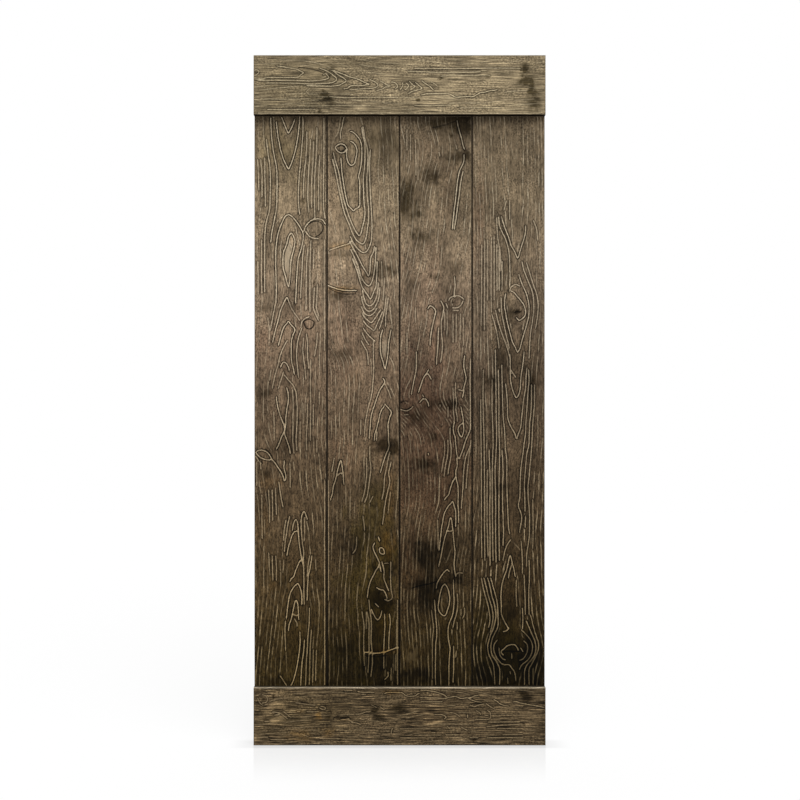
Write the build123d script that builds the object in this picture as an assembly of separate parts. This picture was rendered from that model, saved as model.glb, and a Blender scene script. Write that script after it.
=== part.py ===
from build123d import *
import math
import os

# A ledged door slab for a sliding door. Four upright tongue-and-groove planks run the whole height
# of the door. A top rail and a bottom rail lie across their front faces, and wood screws driven
# from behind pass through the planks into the rails. Nothing on the slab moves.
#
# Frame: millimetres, +X to the right seen from the front, -Y to the front, +Z up.
# Origin: the middle of the top rail's front face, where the straps of a sliding door hanger bolt on.

# Planks
PLANK_COUNT = 4
PLANK_COVER = 225.75  # width of door that one plank makes up, from joint to joint
PLANK_THICKNESS = 19.0
PLANK_FRONT_EASE = 1.5  # radius of the long front arrises
PLANK_BACK_CHAMFER = 1.0  # along the long back arrises
PLANK_END_CHAMFER = 0.8  # along the two sawn ends, at the back
DOOR_HEIGHT = 2134.0  # the planks run from the top of the door to its bottom

# Joint between two planks
FACE_GAP = 1.0  # open joint that shows as a dark line
TONGUE_THICKNESS = 6.4
TONGUE_REACH = 9.5  # how far the tongue stands out of its plank
TONGUE_NOSE_CHAMFER = 1.2
TONGUE_FROM_FRONT = 6.5  # wood left between the tongue and the plank's front face
GROOVE_SIDE_CLEARANCE = 0.2  # on each cheek of the tongue
GROOVE_END_CLEARANCE = 1.2  # beyond the tongue's nose
GROOVE_MOUTH_CHAMFER = 0.5

# Rails
RAIL_THICKNESS = 19.0
TOP_RAIL_HEIGHT = 184.0
BOTTOM_RAIL_HEIGHT = 178.0
RAIL_EASE = 2.0  # radius of the four arrises round the front face

# Screws, with hexagon heads that lie in counterbored holes in the planks' back
SCREW_LENGTH = 30.0  # under the head
SHANK_DIAMETER = 5.0
HEAD_ACROSS_FLATS = 8.0
HEAD_HEIGHT = 3.5
HEAD_SETBACK = 0.5  # the head lies this far below the planks' back face
WRENCH_CLEARANCE = 2.4  # round the head's corners, for a socket wrench
SHANK_CLEARANCE = 0.4  # round the shank where it passes through the plank
PILOT_CLEARANCE = 0.1  # round the shank in the rail
PILOT_OVERDEPTH = 1.0  # the blind hole in the rail runs this far past the screw's end
SCREW_FROM_PLANK_EDGE = 50.0
SCREW_FROM_RAIL_EDGE = 45.0

# Places that follow from the sizes above
DOOR_WIDTH = PLANK_COUNT * PLANK_COVER
DOOR_TOP = TOP_RAIL_HEIGHT / 2
DOOR_BOTTOM = DOOR_TOP - DOOR_HEIGHT
PLANK_FRONT = RAIL_THICKNESS
DOOR_BACK = PLANK_FRONT + PLANK_THICKNESS
TONGUE_MIDDLE = PLANK_FRONT + TONGUE_FROM_FRONT + TONGUE_THICKNESS / 2
HEAD_TOP = DOOR_BACK - HEAD_SETBACK
HEAD_SEAT = HEAD_TOP - HEAD_HEIGHT
SCREW_END = HEAD_SEAT - SCREW_LENGTH
OVERRUN = 1.0  # how far a cutter runs past the face it cuts, or a tongue's root into its plank


def joint_x(index):
    """The line between plank index - 1 and plank index, or an outer edge of the door."""
    return -DOOR_WIDTH / 2 + index * PLANK_COVER


def plank_tongue(shoulder):
    """Section of the tongue that stands out to the right of a plank's shoulder."""
    root = shoulder - OVERRUN
    nose = shoulder + TONGUE_REACH
    tongue = Pos((root + nose) / 2, TONGUE_MIDDLE) * Rectangle(nose - root, TONGUE_THICKNESS)
    return chamfer(tongue.vertices().group_by(Axis.X)[-1], TONGUE_NOSE_CHAMFER)


def plank_groove(shoulder):
    """Section cut out of a plank's left shoulder for its neighbour's tongue."""
    mouth = shoulder - OVERRUN
    end = shoulder - FACE_GAP + TONGUE_REACH + GROOVE_END_CLEARANCE
    width = TONGUE_THICKNESS + 2 * GROOVE_SIDE_CLEARANCE
    slot = Pos((mouth + end) / 2, TONGUE_MIDDLE) * Rectangle(end - mouth, width)
    flare = width / 2 + GROOVE_MOUTH_CHAMFER
    bevel = make_face(
        Polyline(
            (mouth, TONGUE_MIDDLE - flare - OVERRUN),
            (shoulder + GROOVE_MOUTH_CHAMFER, TONGUE_MIDDLE - width / 2),
            (shoulder + GROOVE_MOUTH_CHAMFER, TONGUE_MIDDLE + width / 2),
            (mouth, TONGUE_MIDDLE + flare + OVERRUN),
            close=True,
        )
    )
    return slot + bevel


def plank_section(index):
    """Section of one plank seen from above: eased arrises, a groove at its left, a tongue at its right.
    The two outer edges of the door are left square."""
    first = index == 0
    last = index == PLANK_COUNT - 1
    left = joint_x(index) + (0 if first else FACE_GAP / 2)
    right = joint_x(index + 1) - (0 if last else FACE_GAP / 2)
    middle = (PLANK_FRONT + DOOR_BACK) / 2
    section = Pos((left + right) / 2, middle) * Rectangle(right - left, PLANK_THICKNESS)
    section = fillet(section.vertices().group_by(Axis.Y)[0], PLANK_FRONT_EASE)
    section = chamfer(section.vertices().group_by(Axis.Y)[-1], PLANK_BACK_CHAMFER)
    if not first:
        section -= plank_groove(left)
    if not last:
        section += plank_tongue(right)
    return section


def along_depth(section, x, z, front, back):
    """A section drawn round the origin, extruded between two depths on the line through (x, z)."""
    return Plane(origin=(x, back, z), z_dir=(0, -1, 0)) * extrude(section, back - front)


def screw(x, z):
    """One wood screw, driven from behind: a round shank under a hexagon head."""
    hexagon = RegularPolygon(HEAD_ACROSS_FLATS / 2, 6, major_radius=False)
    head = along_depth(hexagon, x, z, HEAD_SEAT, HEAD_TOP)
    shank = along_depth(Circle(SHANK_DIAMETER / 2), x, z, SCREW_END, HEAD_SEAT)
    return head + shank


def plank_hole(x, z):
    """The cutter for one screw's hole through its plank, counterbored at the back for the head."""
    corner_reach = HEAD_ACROSS_FLATS / math.sqrt(3)
    counterbore_section = Circle(corner_reach + WRENCH_CLEARANCE)
    counterbore = along_depth(counterbore_section, x, z, HEAD_SEAT, DOOR_BACK + OVERRUN)
    bore_section = Circle(SHANK_DIAMETER / 2 + SHANK_CLEARANCE)
    return counterbore + along_depth(bore_section, x, z, PLANK_FRONT - OVERRUN, HEAD_SEAT)


def pilot_hole(x, z):
    """The cutter for the blind hole in the rail that one screw bites into."""
    bottom = SCREW_END - PILOT_OVERDEPTH
    section = Circle(SHANK_DIAMETER / 2 + PILOT_CLEARANCE)
    return along_depth(section, x, z, bottom, RAIL_THICKNESS + OVERRUN)


def screw_places(index, rail_bottom, rail_top):
    """Where plank index is screwed to the rail between two heights: a diagonal pair."""
    left = joint_x(index) + SCREW_FROM_PLANK_EDGE
    right = joint_x(index + 1) - SCREW_FROM_PLANK_EDGE
    high = rail_top - SCREW_FROM_RAIL_EDGE
    low = rail_bottom + SCREW_FROM_RAIL_EDGE
    return {"a": (left, high), "b": (right, low)}


def plank(index, holes):
    """One upright plank, with its screw holes."""
    board = Pos(0, 0, DOOR_BOTTOM) * extrude(plank_section(index), DOOR_HEIGHT, dir=(0, 0, 1))
    back_ends = board.edges().filter_by(Axis.X).group_by(Axis.Y)[-1]
    board = chamfer(back_ends, PLANK_END_CHAMFER)
    for x, z in holes:
        board -= plank_hole(x, z)
    return board


def rail(bottom, top, holes):
    """One rail across the planks' front, with a pilot hole for each screw."""
    place = Pos(0, RAIL_THICKNESS / 2, (bottom + top) / 2)
    board = place * Box(DOOR_WIDTH, RAIL_THICKNESS, top - bottom)
    front_face = board.faces().sort_by(Axis.Y)[0]
    board = fillet(front_face.edges(), RAIL_EASE)
    for x, z in holes:
        board -= pilot_hole(x, z)
    return board


def main():
    rails = {
        "top": (DOOR_TOP - TOP_RAIL_HEIGHT, DOOR_TOP),
        "bottom": (DOOR_BOTTOM, DOOR_BOTTOM + BOTTOM_RAIL_HEIGHT),
    }
    parts = {}
    plank_holes = {index: [] for index in range(PLANK_COUNT)}
    for rail_name, (bottom, top) in rails.items():
        rail_holes = []
        for index in range(PLANK_COUNT):
            for letter, place in screw_places(index, bottom, top).items():
                parts[f"screw_{rail_name}_{index + 1}{letter}"] = screw(*place)
                plank_holes[index].append(place)
                rail_holes.append(place)
        parts[f"{rail_name}_rail"] = rail(bottom, top, rail_holes)
    for index, holes in plank_holes.items():
        parts[f"plank_{index + 1}"] = plank(index, holes)

    os.makedirs("parts", exist_ok=True)
    for name, shape in parts.items():
        export_step(shape, f"parts/{name}.step")


main()
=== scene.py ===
# %% [markdown]
# # A ledged door slab in brushed, stained softwood
#
# The object is the slab of a sliding door: four upright tongue-and-groove planks, with one wide
# rail across the top and one across the bottom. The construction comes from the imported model.
# This file gives it its surface, which is a coarse softwood whose growth rings stand out as
# ridges after brushing, under a dark stain that deepens towards the foot.

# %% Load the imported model
import math
from types import SimpleNamespace

import bmesh
import bpy
import numpy as np
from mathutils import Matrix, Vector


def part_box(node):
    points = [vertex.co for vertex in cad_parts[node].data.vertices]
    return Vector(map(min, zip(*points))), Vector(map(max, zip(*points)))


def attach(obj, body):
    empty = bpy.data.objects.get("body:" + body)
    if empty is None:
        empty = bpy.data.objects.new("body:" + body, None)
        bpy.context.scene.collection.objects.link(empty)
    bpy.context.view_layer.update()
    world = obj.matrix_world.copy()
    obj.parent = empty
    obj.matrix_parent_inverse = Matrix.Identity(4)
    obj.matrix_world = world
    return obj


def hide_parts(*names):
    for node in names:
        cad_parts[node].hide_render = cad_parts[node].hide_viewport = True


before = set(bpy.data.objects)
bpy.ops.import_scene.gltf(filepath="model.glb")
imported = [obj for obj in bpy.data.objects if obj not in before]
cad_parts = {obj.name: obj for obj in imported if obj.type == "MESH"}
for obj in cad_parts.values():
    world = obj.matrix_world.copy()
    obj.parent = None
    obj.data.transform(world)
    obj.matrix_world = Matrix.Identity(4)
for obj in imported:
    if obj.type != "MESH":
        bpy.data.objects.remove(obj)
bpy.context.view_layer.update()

# %% [markdown]
# ## Sizes
#
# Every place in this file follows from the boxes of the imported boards, so the surface still fits
# after a change of size. A grain pattern is drawn in millimetres on its own board: `along` runs
# with the grain, from the top of a plank or the left end of a rail, and `across` is measured
# from the board's middle line.

# %% Boards and their boxes
MM = 0.001
PLANKS = ["plank_1", "plank_2", "plank_3", "plank_4"]
RAILS = ["top_rail", "bottom_rail"]
box = {name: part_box(name) for name in PLANKS + RAILS}
rail_low, rail_high = (np.array(corner) / MM for corner in box["top_rail"])
foot_low, foot_high = (np.array(corner) / MM for corner in box["bottom_rail"])
door_top = rail_high[2]
door_foot = foot_low[2]
door_left, door_right = rail_low[0], rail_high[0]
door_width = door_right - door_left
plank_cover = door_width / len(PLANKS)
plank_front = rail_high[1]
plank_length = door_top - door_foot
print(f"door {door_width:.1f} by {plank_length:.1f} mm, planks of {plank_cover:.2f} mm")

# %% [markdown]
# ## Smooth noise in Python
#
# No ring in real wood is a clean curve. Blender's noise texture could bend the rings in the
# shader, but the same rings also have to shape the mesh, so they are worked out here. They need
# a noise that is the same on every run, and its lattice comes from a seeded generator.

# %% Noise on a lattice
LATTICE = 64  # the noise repeats after this many lumps


def eased(t):
    """Runs from 0 to 1 with no kink at either end."""
    t = np.clip(t, 0, 1)
    return t * t * (3 - 2 * t)


def lattice_noise(u, v, size_u, size_v, seed):
    """Smooth noise from -1 to 1 with lumps of about size_u by size_v."""
    lattice = np.random.default_rng(seed).uniform(-1, 1, (LATTICE, LATTICE))
    u, v = u / size_u + 7.3, v / size_v + 3.1
    i, j = np.floor(u).astype(int), np.floor(v).astype(int)
    s, t = eased(u - i), eased(v - j)
    i0, i1, j0, j1 = i % LATTICE, (i + 1) % LATTICE, j % LATTICE, (j + 1) % LATTICE
    low = lattice[i0, j0] * (1 - s) + lattice[i1, j0] * s
    high = lattice[i0, j1] * (1 - s) + lattice[i1, j1] * s
    return low * (1 - t) + high * t


print("noise every 50 mm:", lattice_noise(np.arange(0, 300, 50), np.zeros(6), 95, 60, 1).round(2))

# %% [markdown]
# ## Lines through chosen points
#
# Where a board's flame lies, how its rings are counted and how light it is are all given at a
# few places along the grain. A common spline would swing past its points and add false rings.
# This curve never leaves the range of the two points that it runs between.

# %% A smooth line with no overshoot


def through(points, at):
    """A smooth line through given (place, value) points, with no overshoot between them."""
    places, values = np.array(points, dtype=float).T
    slopes = np.diff(values) / np.diff(places)
    meet = np.zeros(len(places))
    product, total = slopes[:-1] * slopes[1:], slopes[:-1] + slopes[1:]
    same_way = product > 0
    meet[1:-1][same_way] = 2 * product[same_way] / total[same_way]
    at = np.clip(at, places[0], places[-1])
    k = np.clip(np.searchsorted(places, at) - 1, 0, len(places) - 2)
    gap = places[k + 1] - places[k]
    t = (at - places[k]) / gap
    return (
        values[k] * (1 + 2 * t) * (1 - t) ** 2
        + values[k + 1] * t**2 * (3 - 2 * t)
        + meet[k] * gap * t * (1 - t) ** 2
        - meet[k + 1] * gap * t**2 * (1 - t)
    )


print("halfway between 0 and 1:", through([(0, 0), (10, 1), (20, 1)], np.array([5.0])))

# %% [markdown]
# ## Growth rings
#
# A board sawn beside the heart of a log shows its rings as flames: nested V shapes and closed
# islands along one line, and straight lines at both sides. Seen as a map, each ring is a contour
# of one smooth field. So the field is built, and not the lines: it rises like a fan away from
# the flame's middle line, and along that line it follows a few chosen ring counts. Wherever the
# count passes a whole number, a ring has its tip.

# %% Ring field of one board


def fan(across, core, spacing):
    """Rings counted from the middle line: rounded within core, then one every spacing."""
    return (np.sqrt(across**2 + core**2) - core) / spacing


def flame_field(along, across, flame, seed):
    """Ring count of one flame."""
    waver = 2.2 * lattice_noise(along, across, 95, 60, seed)
    waver = waver + 0.9 * lattice_noise(along, across, 30, 25, seed + 1)
    off = across - through(flame["middle"], along) + waver
    count = through(flame["tips"], along) / (1 + (off / flame["reach"]) ** 2)
    count = count + 0.10 * lattice_noise(along, across, 60, 16, seed + 2)
    return fan(off, flame["core"], flame["spacing"]) + count


def past_knots(along, across, knots):
    """Moves the grain lines aside so that they bulge round each knot."""
    for knot in knots:
        du = (along - knot["along"]) / knot["long"]
        dv = (across - knot["across"]) / knot["wide"]
        apart = np.sqrt(du**2 + dv**2)
        squeeze = apart**2 / (apart**2 + knot.get("push", 1.1))
        across = knot["across"] + (across - knot["across"]) * squeeze
    return across


print("rings 50 and 100 mm beside a flame:", fan(np.array([50.0, 100.0]), 30, 11).round(1))

# %% [markdown]
# ## Soft patches
#
# Stain gathers in soft patches with a torn outline. A patch could be painted into an image, but
# an image has a fixed sharpness and needs a file. Here it is an ellipse whose edge the noise
# moves in and out, and the sum of a board's patches becomes one field.

# %% Field of soft patches


def blotches(along, across, places, seed):
    """Adds up soft patches: (along, across, half length, half width, strength)."""
    total = np.zeros(along.shape)
    for n, (at, aside, half_length, half_width, strength) in enumerate(places):
        du, dv = (along - at) / half_length, (across - aside) / half_width
        lumps = lattice_noise(along, across, half_length * 0.5, half_width * 0.4, seed + n)
        specks = lattice_noise(along, across, half_length * 0.18, half_width * 0.14, seed + 50 + n)
        rough = 0.55 * lumps + 0.3 * specks
        total = total + strength * (1 - eased((np.sqrt(du**2 + dv**2) + rough) / 2.1))
    return total


sample = blotches(np.array([0.0, 20.0]), np.zeros(2), [(0, 0, 20, 10, 1.0)], 1)
print("a patch at its middle and at its end:", sample.round(2))

# %% [markdown]
# ## The grain of each board
#
# These are the patterns of the six boards. `middle` says how far the flame's
# middle line lies from the board's, and `tips` is the ring count along it. `core` says how blunt
# the tips are, `spacing` how far apart the rings lie beside the flame, and `reach` how far to
# the sides the tips still push them. The grain bulges round each of the `knots`, which have a
# place, a half length and a half width.

# %% Plank 1
grain = {}


def describe(name):
    """Prints what a board's grain is made of."""
    board = grain[name]
    counts = [count for place, count in board["tips"]]
    print(f"{name}: ring counts {min(counts)} to {max(counts)}, {len(board['knots'])} knots")


grain["plank_1"] = {
    "core": 37, "spacing": 11.8, "reach": 80,
    "middle": [
        (0, -7), (700, -9), (950, -12), (1150, -21), (1300, -5), (1450, 15), (1700, 18), (1960, -3),
        (2134, -3),
    ],
    "tips": [
        (0, 0.4), (237, 2), (353, 3), (420, 3.45), (487, 3), (543, 2), (615, 1.65), (712, 2), (729, 2.2),
        (746, 2), (824, 1), (942, 0), (1010, -0.5), (1150, 0), (1240, 0.8), (1330, 1.3), (1431, 1),
        (1550, 0.45), (1643, 0), (1705, -1), (1800, -1.5), (1957, -1), (2134, 0),
    ],
    "knots": [
        {"along": 531, "across": 75, "long": 27, "wide": 28},
        {"along": 830, "across": 53, "long": 19, "wide": 18},
        {"along": 1238, "across": -86, "long": 16, "wide": 24},
    ],
}
describe("plank_1")

# %% Plank 2
grain["plank_2"] = {
    "core": 32, "spacing": 12.5, "reach": 70,
    "middle": [
        (0, -40), (300, -37), (475, -26), (640, 0), (880, 24), (960, 60), (1082, 68), (1400, 62),
        (2134, 50),
    ],
    "tips": [
        (0, 3.4), (226, 2), (263, 1), (300, 0.62), (335, 1), (475, 2), (530, 2.6), (640, 2.9), (895, 2.6),
        (1004, 2), (1082, 1), (1180, 0.4), (1260, 0.1), (1420, 0.6), (1560, 0.2), (1860, 0.6), (2134, 0.9),
    ],
    "knots": [
        {"along": 285, "across": -69, "long": 13, "wide": 15},
        {"along": 1705, "across": 58, "long": 46, "wide": 36},
        {"along": 1500, "across": -4, "long": 12, "wide": 8, "push": 0.5},
    ],
}
describe("plank_2")

# %% Plank 3
grain["plank_3"] = {
    "core": 26, "spacing": 11.0, "reach": 55,
    "middle": [
        (0, 80), (195, 78), (282, 94), (413, 69), (537, 57), (777, 13), (973, -18), (1054, -37), (1191, 40),
        (1378, 50), (1431, 44), (1689, 26), (1938, 35), (2134, 36),
    ],
    "tips": [
        (0, 0.88), (560, 0.9), (640, 1.35), (775, 1), (870, 0.5), (973, 0), (1054, -1), (1110, -1.3),
        (1180, -0.6), (1300, 0.4), (1378, 0), (1431, -1), (1500, -1.5), (1600, -0.8), (1643, -1),
        (1690, -1.22), (1736, -1), (1790, -0.7), (1900, -0.7), (2134, -0.6),
    ],
    "knots": [
        {"along": 758, "across": 63, "long": 19, "wide": 28},
        {"along": 1085, "across": -93, "long": 20, "wide": 22},
        {"along": 1160, "across": 76, "long": 40, "wide": 12, "push": 0.6},
    ],
}
describe("plank_3")

# %% Plank 4
grain["plank_4"] = {
    "core": 26, "spacing": 9.2, "reach": 60,
    "middle": [
        (0, 10), (300, 20), (621, 27), (1185, 27), (1300, 20), (1549, 5), (1845, 5), (2134, 8),
    ],
    "tips": [
        (0, 0.2), (300, 1), (621, 2), (780, 2.5), (917, 3), (1057, 4), (1185, 5), (1330, 5.4), (1502, 5),
        (1549, 4), (1700, 3.4), (1900, 3.6), (2134, 3.2),
    ],
    "knots": [
        {"along": 770, "across": 32, "long": 44, "wide": 22},
        {"along": 1845, "across": 5, "long": 34, "wide": 44, "push": 2.2},
    ],
}
describe("plank_4")

# %% Top rail
grain["top_rail"] = {
    "core": 22, "spacing": 9.6, "reach": 60,
    "middle": [
        (0, 30), (152, 35), (230, 29), (270, 18), (347, 4), (521, -10), (640, -22), (760, -8), (903, 6),
    ],
    "tips": [
        (0, 0.2), (152, 1), (230, 2), (270, 3), (300, 3.6), (420, 4.1), (540, 4.2), (600, 3.6), (760, 3.3),
        (903, 2.6),
    ],
    "knots": [
        {"along": 205, "across": -80, "long": 8, "wide": 7, "push": 0.8},
        {"along": -6, "across": 36, "long": 18, "wide": 9},
    ],
}
describe("top_rail")

# %% Bottom rail
grain["bottom_rail"] = {
    "core": 18, "spacing": 9.8, "reach": 50,
    "middle": [
        (0, 20), (200, 34), (420, 30), (560, 52), (700, 44), (903, 30),
    ],
    "tips": [
        (0, 0.6), (150, 0.2), (330, 0.9), (420, 0.4), (620, 0.7), (720, 2), (800, 3), (903, 3.2),
    ],
    "knots": [
        {"along": 32, "across": 60, "long": 22, "wide": 20},
        {"along": 390, "across": 5, "long": 16, "wide": 12, "push": 0.8},
    ],
}
describe("bottom_rail")

# %% [markdown]
# ## Drawn lines
#
# The clearest ridges of a brushed board stand out one by one, so they are drawn as curves, a few
# points each. They were drawn point by point on a picture of the door laid over with
# squares. Each line is its strength and then column,row for each point, with 3.1 mm to a square
# on the planks. A curve of few points stays crisp at any size, which a painted image doesn't.

# %% The squares
PLANK_SQUARE = 3.114  # millimetres to a square on the planks
PLANK_COLUMN, PLANK_ROW = 399.6, 57.5  # column of the door's middle, and row of its top
RAIL_SQUARE = 3.0935  # millimetres to a square on the rails, which stand further forward
RAIL_COLUMN = 253.7  # column of a rail's left end
RAIL_ROW = {"top_rail": 85.1, "bottom_rail": 716.5}  # row of each rail's middle line
print("squares across a plank:", round(plank_cover / PLANK_SQUARE, 1))

# %% Pale lines of plank 1
drawn = {}
drawn["plank_1"] = [
    # pointed tongues at the top and the straight lines beside them
    (1.0, 282,118, 284.5,124.5, 288,132.5, 289.5,132, 292.5,126, 295,119),
    (1.0, 276.5,122, 278,136, 280.5,149, 283.5,159, 287,166.5, 288.7,169, 291,164.5, 294,156, 297,143,
     298.7,131, 299.8,117),
    (0.9, 270.8,118, 271.8,138, 274,154, 276.5,167, 277.2,182, 277,198, 276.3,210, 274,222, 272,232,
     271,242),
    (0.8, 266.5,140, 268,153, 269.8,165, 270.5,180, 270.3,196, 269.5,210, 266.5,222, 265,234, 264.8,250,
     264.8,270, 264.8,292),
    (0.7, 264.8,158, 265,175, 265.3,192, 265.5,206), (0.7, 261,160, 262,175, 262.2,190, 262,197),
    (0.6, 257.6,160, 258.6,174, 259,190),
    (0.8, 303,117, 303,132, 302,146, 300.6,162, 299.2,178, 298.5,192, 298.7,204, 299.8,214),
    (0.7, 307,132, 306.8,146, 305.8,160, 304.3,174, 303.6,188, 303.6,198),
    (0.7, 310.6,140, 309.8,156, 308.8,170, 308,186, 308,200, 309,212),
    (0.6, 313.6,142, 313,160, 312,176, 311.6,192, 311.6,207),
    (0.7, 317,128, 316.8,146, 316,160, 314.9,176, 314.5,192, 314.6,206, 315,218),
    (0.6, 319.8,156, 319,172, 318.6,190, 318.8,210), (0.7, 324,118, 324,150, 323.6,182, 323.6,206, 325,218),
    # the loop over the first knot, with an island in it
    (1.0, 276,302, 276.4,288, 275.8,265, 276,250, 277,240, 279,231, 282,223, 285,217, 288.5,214.8,
     292,216.5, 296,221, 300,227, 303,233, 303.2,240, 301,250, 298.3,259, 297.3,270, 296.4,285, 295.8,303),
    (1.0, 291,233, 288.5,237, 286.5,245, 284,251, 283,259, 283.3,268, 285.5,276, 288.5,286.5, 290,277,
     290.6,267, 291.5,258, 294,249, 295,241, 293,235, 291,233),
    (0.8, 304.5,245, 302.8,256, 302.3,268, 301.3,282, 300.7,298),
    (0.7, 308,248, 306.8,262, 306.3,280, 306.3,298, 306,310),
    (0.7, 311,241, 310.3,258, 310,275, 310,295, 310,312), (0.6, 314,250, 313.6,268),
    (0.7, 314.3,288, 313.8,300, 313.5,308, 316,315, 318.5,320),
    (0.6, 317.5,285, 316.8,300, 316.5,308, 319,316), (0.5, 324.5,240, 324.3,280, 324.5,320, 324.5,350),
    (0.6, 258,262, 258.3,294), (0.7, 261.8,240, 261.5,260, 261.6,280, 262,293),
    # arrow heads in the middle
    (1.0, 272.8,342, 275,332, 277.8,322, 280.5,311, 284,303, 287,297.5, 289,302),
    (0.5, 289,302, 292,309, 296,315, 299.5,320),
    (1.0, 278.5,345, 281,336, 283.5,328, 287,323.5, 288.5,321.5, 291,324.5, 295,329.5, 293,335, 291.5,342,
     291.3,352, 291.7,361, 293,367, 294.6,374),
    (0.8, 278.8,361, 281.5,352, 284.5,345.5, 287.5,340.5),
    (0.8, 302,328, 298.5,338, 296.8,350, 297,362, 298.6,377), (0.7, 303.5,338, 303,352, 304.5,364, 306,379),
    (0.7, 306.5,334, 307.7,345, 307.5,354, 308.8,368), (0.6, 317.5,333, 316.5,345, 314.5,356),
    (0.7, 276,302, 274.3,310, 272.3,320, 270.5,330), (0.5, 268,318, 269.5,332, 269,345),
    (1.0, 280.5,367, 283,362.5, 286,363, 288.5,367, 289.3,370.5), (0.7, 283.5,372, 281,380, 278.5,388),
    (0.6, 279,362, 276,372, 274,380, 272.5,388), (0.6, 271,370, 269.8,380),
    (1.0, 276.5,397, 277.5,405, 279.5,413, 282,420, 284.5,427, 284.7,434, 287,440, 289.5,448, 290.3,453),
    (1.0, 287,388, 288.3,394, 288.3,401, 287,409, 286,418, 285.6,426, 284,432, 281.5,437, 279,444,
     276.5,449),
    (0.7, 284.5,375, 288.5,380, 293,385, 296,392, 297,402, 297.3,414, 296.8,428, 296.2,440, 297,450),
    (0.7, 292.5,390, 293.3,402, 293.2,415, 293,430, 293,442, 294,453), (0.5, 303,403, 303.3,424),
    (0.6, 307.5,404, 307.3,420, 306.5,435, 306.8,450), (0.5, 300.5,422, 300,440),
    (0.6, 310.8,360, 310.5,380, 310.6,400, 310.6,418, 310.4,440), (0.6, 313.5,405, 313.3,425),
    (0.5, 319.5,392, 319.5,404), (0.6, 317,440, 317,452), (0.6, 273.8,412, 274.3,428, 274.3,440),
    # the oval knot at the left edge and the tail that runs from it
    (1.0, 256,452.5, 258.5,450.3, 263,450.2, 267,452, 270,455.5, 271.5,459, 268,459.8, 263,458.5, 259,456,
     256,452.5),
    (1.0, 271.5,459, 274.5,462, 278,467, 281.5,472.5, 283.5,477, 284.5,480.8, 286,477.5, 285.3,472.5,
     284,468, 284.5,461),
    (0.8, 255.5,456, 258.5,460, 261,463), (0.6, 260.5,461, 261,469), (0.6, 290,463, 290.3,475, 290.3,487),
    (0.5, 293.5,462, 294.5,470), (0.6, 256.8,462, 257,485),
    # arrow heads lower down
    (0.8, 279,482, 280,490, 281.3,498, 283,506.5), (0.7, 275.7,488, 276,500, 276.5,514),
    (0.7, 272.3,490, 272.6,505, 272.8,520), (0.6, 268.5,490, 269.5,505, 269.8,522),
    (0.6, 262,495, 262,515, 262.3,538), (0.9, 301,521, 302,515, 304,511.5, 306,514.5, 307.3,519),
    (0.8, 301.2,521, 301.5,532, 302.5,542, 303.8,552, 303.5,560, 304,575, 304,590, 304.3,604),
    (0.6, 304.5,518, 304.8,530, 304.5,540),
    (1.0, 292.5,530, 293.5,524, 295.5,519.5, 297.5,522, 298.3,530, 299,540, 300.3,550, 302,560, 303.8,566),
    (1.0, 297,531, 294,532, 291.5,537, 290,542, 288.5,547, 287,555),
    (0.8, 289.8,516.5, 288,524, 286.8,532, 285.5,540, 284.5,551), (0.7, 286,520, 284.5,529, 283.5,540),
    (1.0, 303.5,558, 300,561, 297.5,566, 295.5,571, 294,576, 291.5,578.5, 290.3,581),
    (0.9, 312,556, 310.5,566, 308.5,576, 307.5,588, 307.3,600), (0.6, 309.5,556, 308,566, 307.3,576),
    (0.6, 268.8,553, 269.3,565, 270,575), (0.7, 272.3,556, 272.6,568, 273,580),
    (0.6, 276,556, 276.5,568, 276.5,580), (0.5, 280,560, 280.5,570), (0.5, 284,560, 283,572),
    (1.0, 286.5,618, 287.5,609, 288.5,602, 290,594, 293,588, 296,584.5, 298,583.5, 300,587, 301.5,593,
     301.8,604),
    (1.0, 288.5,630, 289.3,624, 291.3,619, 293,611, 294.5,604, 296,600, 297.7,603, 298.5,611, 298.8,619),
    (0.6, 294,614.5, 297,615.5), (0.6, 295,619, 297,623, 297,626),
    (0.7, 285.5,621, 285,632, 285.5,642, 285.7,650),
    (1.0, 300,632, 300.2,642, 299.3,652, 297.8,662, 295.8,672, 293.5,680, 291,685),
    (0.9, 304.5,640, 303.8,650, 302.3,662, 301.3,674, 300.8,685),
    (0.7, 309.5,608, 309.3,622, 308,636, 307.3,650, 306.3,664, 306,676, 305.5,685),
    (0.6, 311.5,630, 310.3,646, 310,660, 309.6,676, 309.3,684), (0.6, 313.5,650, 313,668, 312.6,682),
    (0.6, 316.6,650, 316,666, 315.8,680), (0.8, 280.5,676, 283,679.5, 286.5,685),
    # the dark rings and pale rims of the knots, and the pale arris at the joint, partly wear and partly a
    # painted highlight
    (0.9, 304,231, 306,226, 310.5,221, 317,219, 322.5,220, 325.3,224),
    (0.8, 306,232, 308.5,235.5, 313,238, 318,238.5), (0.8, 301,327, 302,322, 305,318.5, 309,316.8),
    (0.6, 324.7,480, 324.5,560, 324.7,620, 324.7,684),
]
print("pale lines on plank 1:", len(drawn["plank_1"]))

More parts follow.
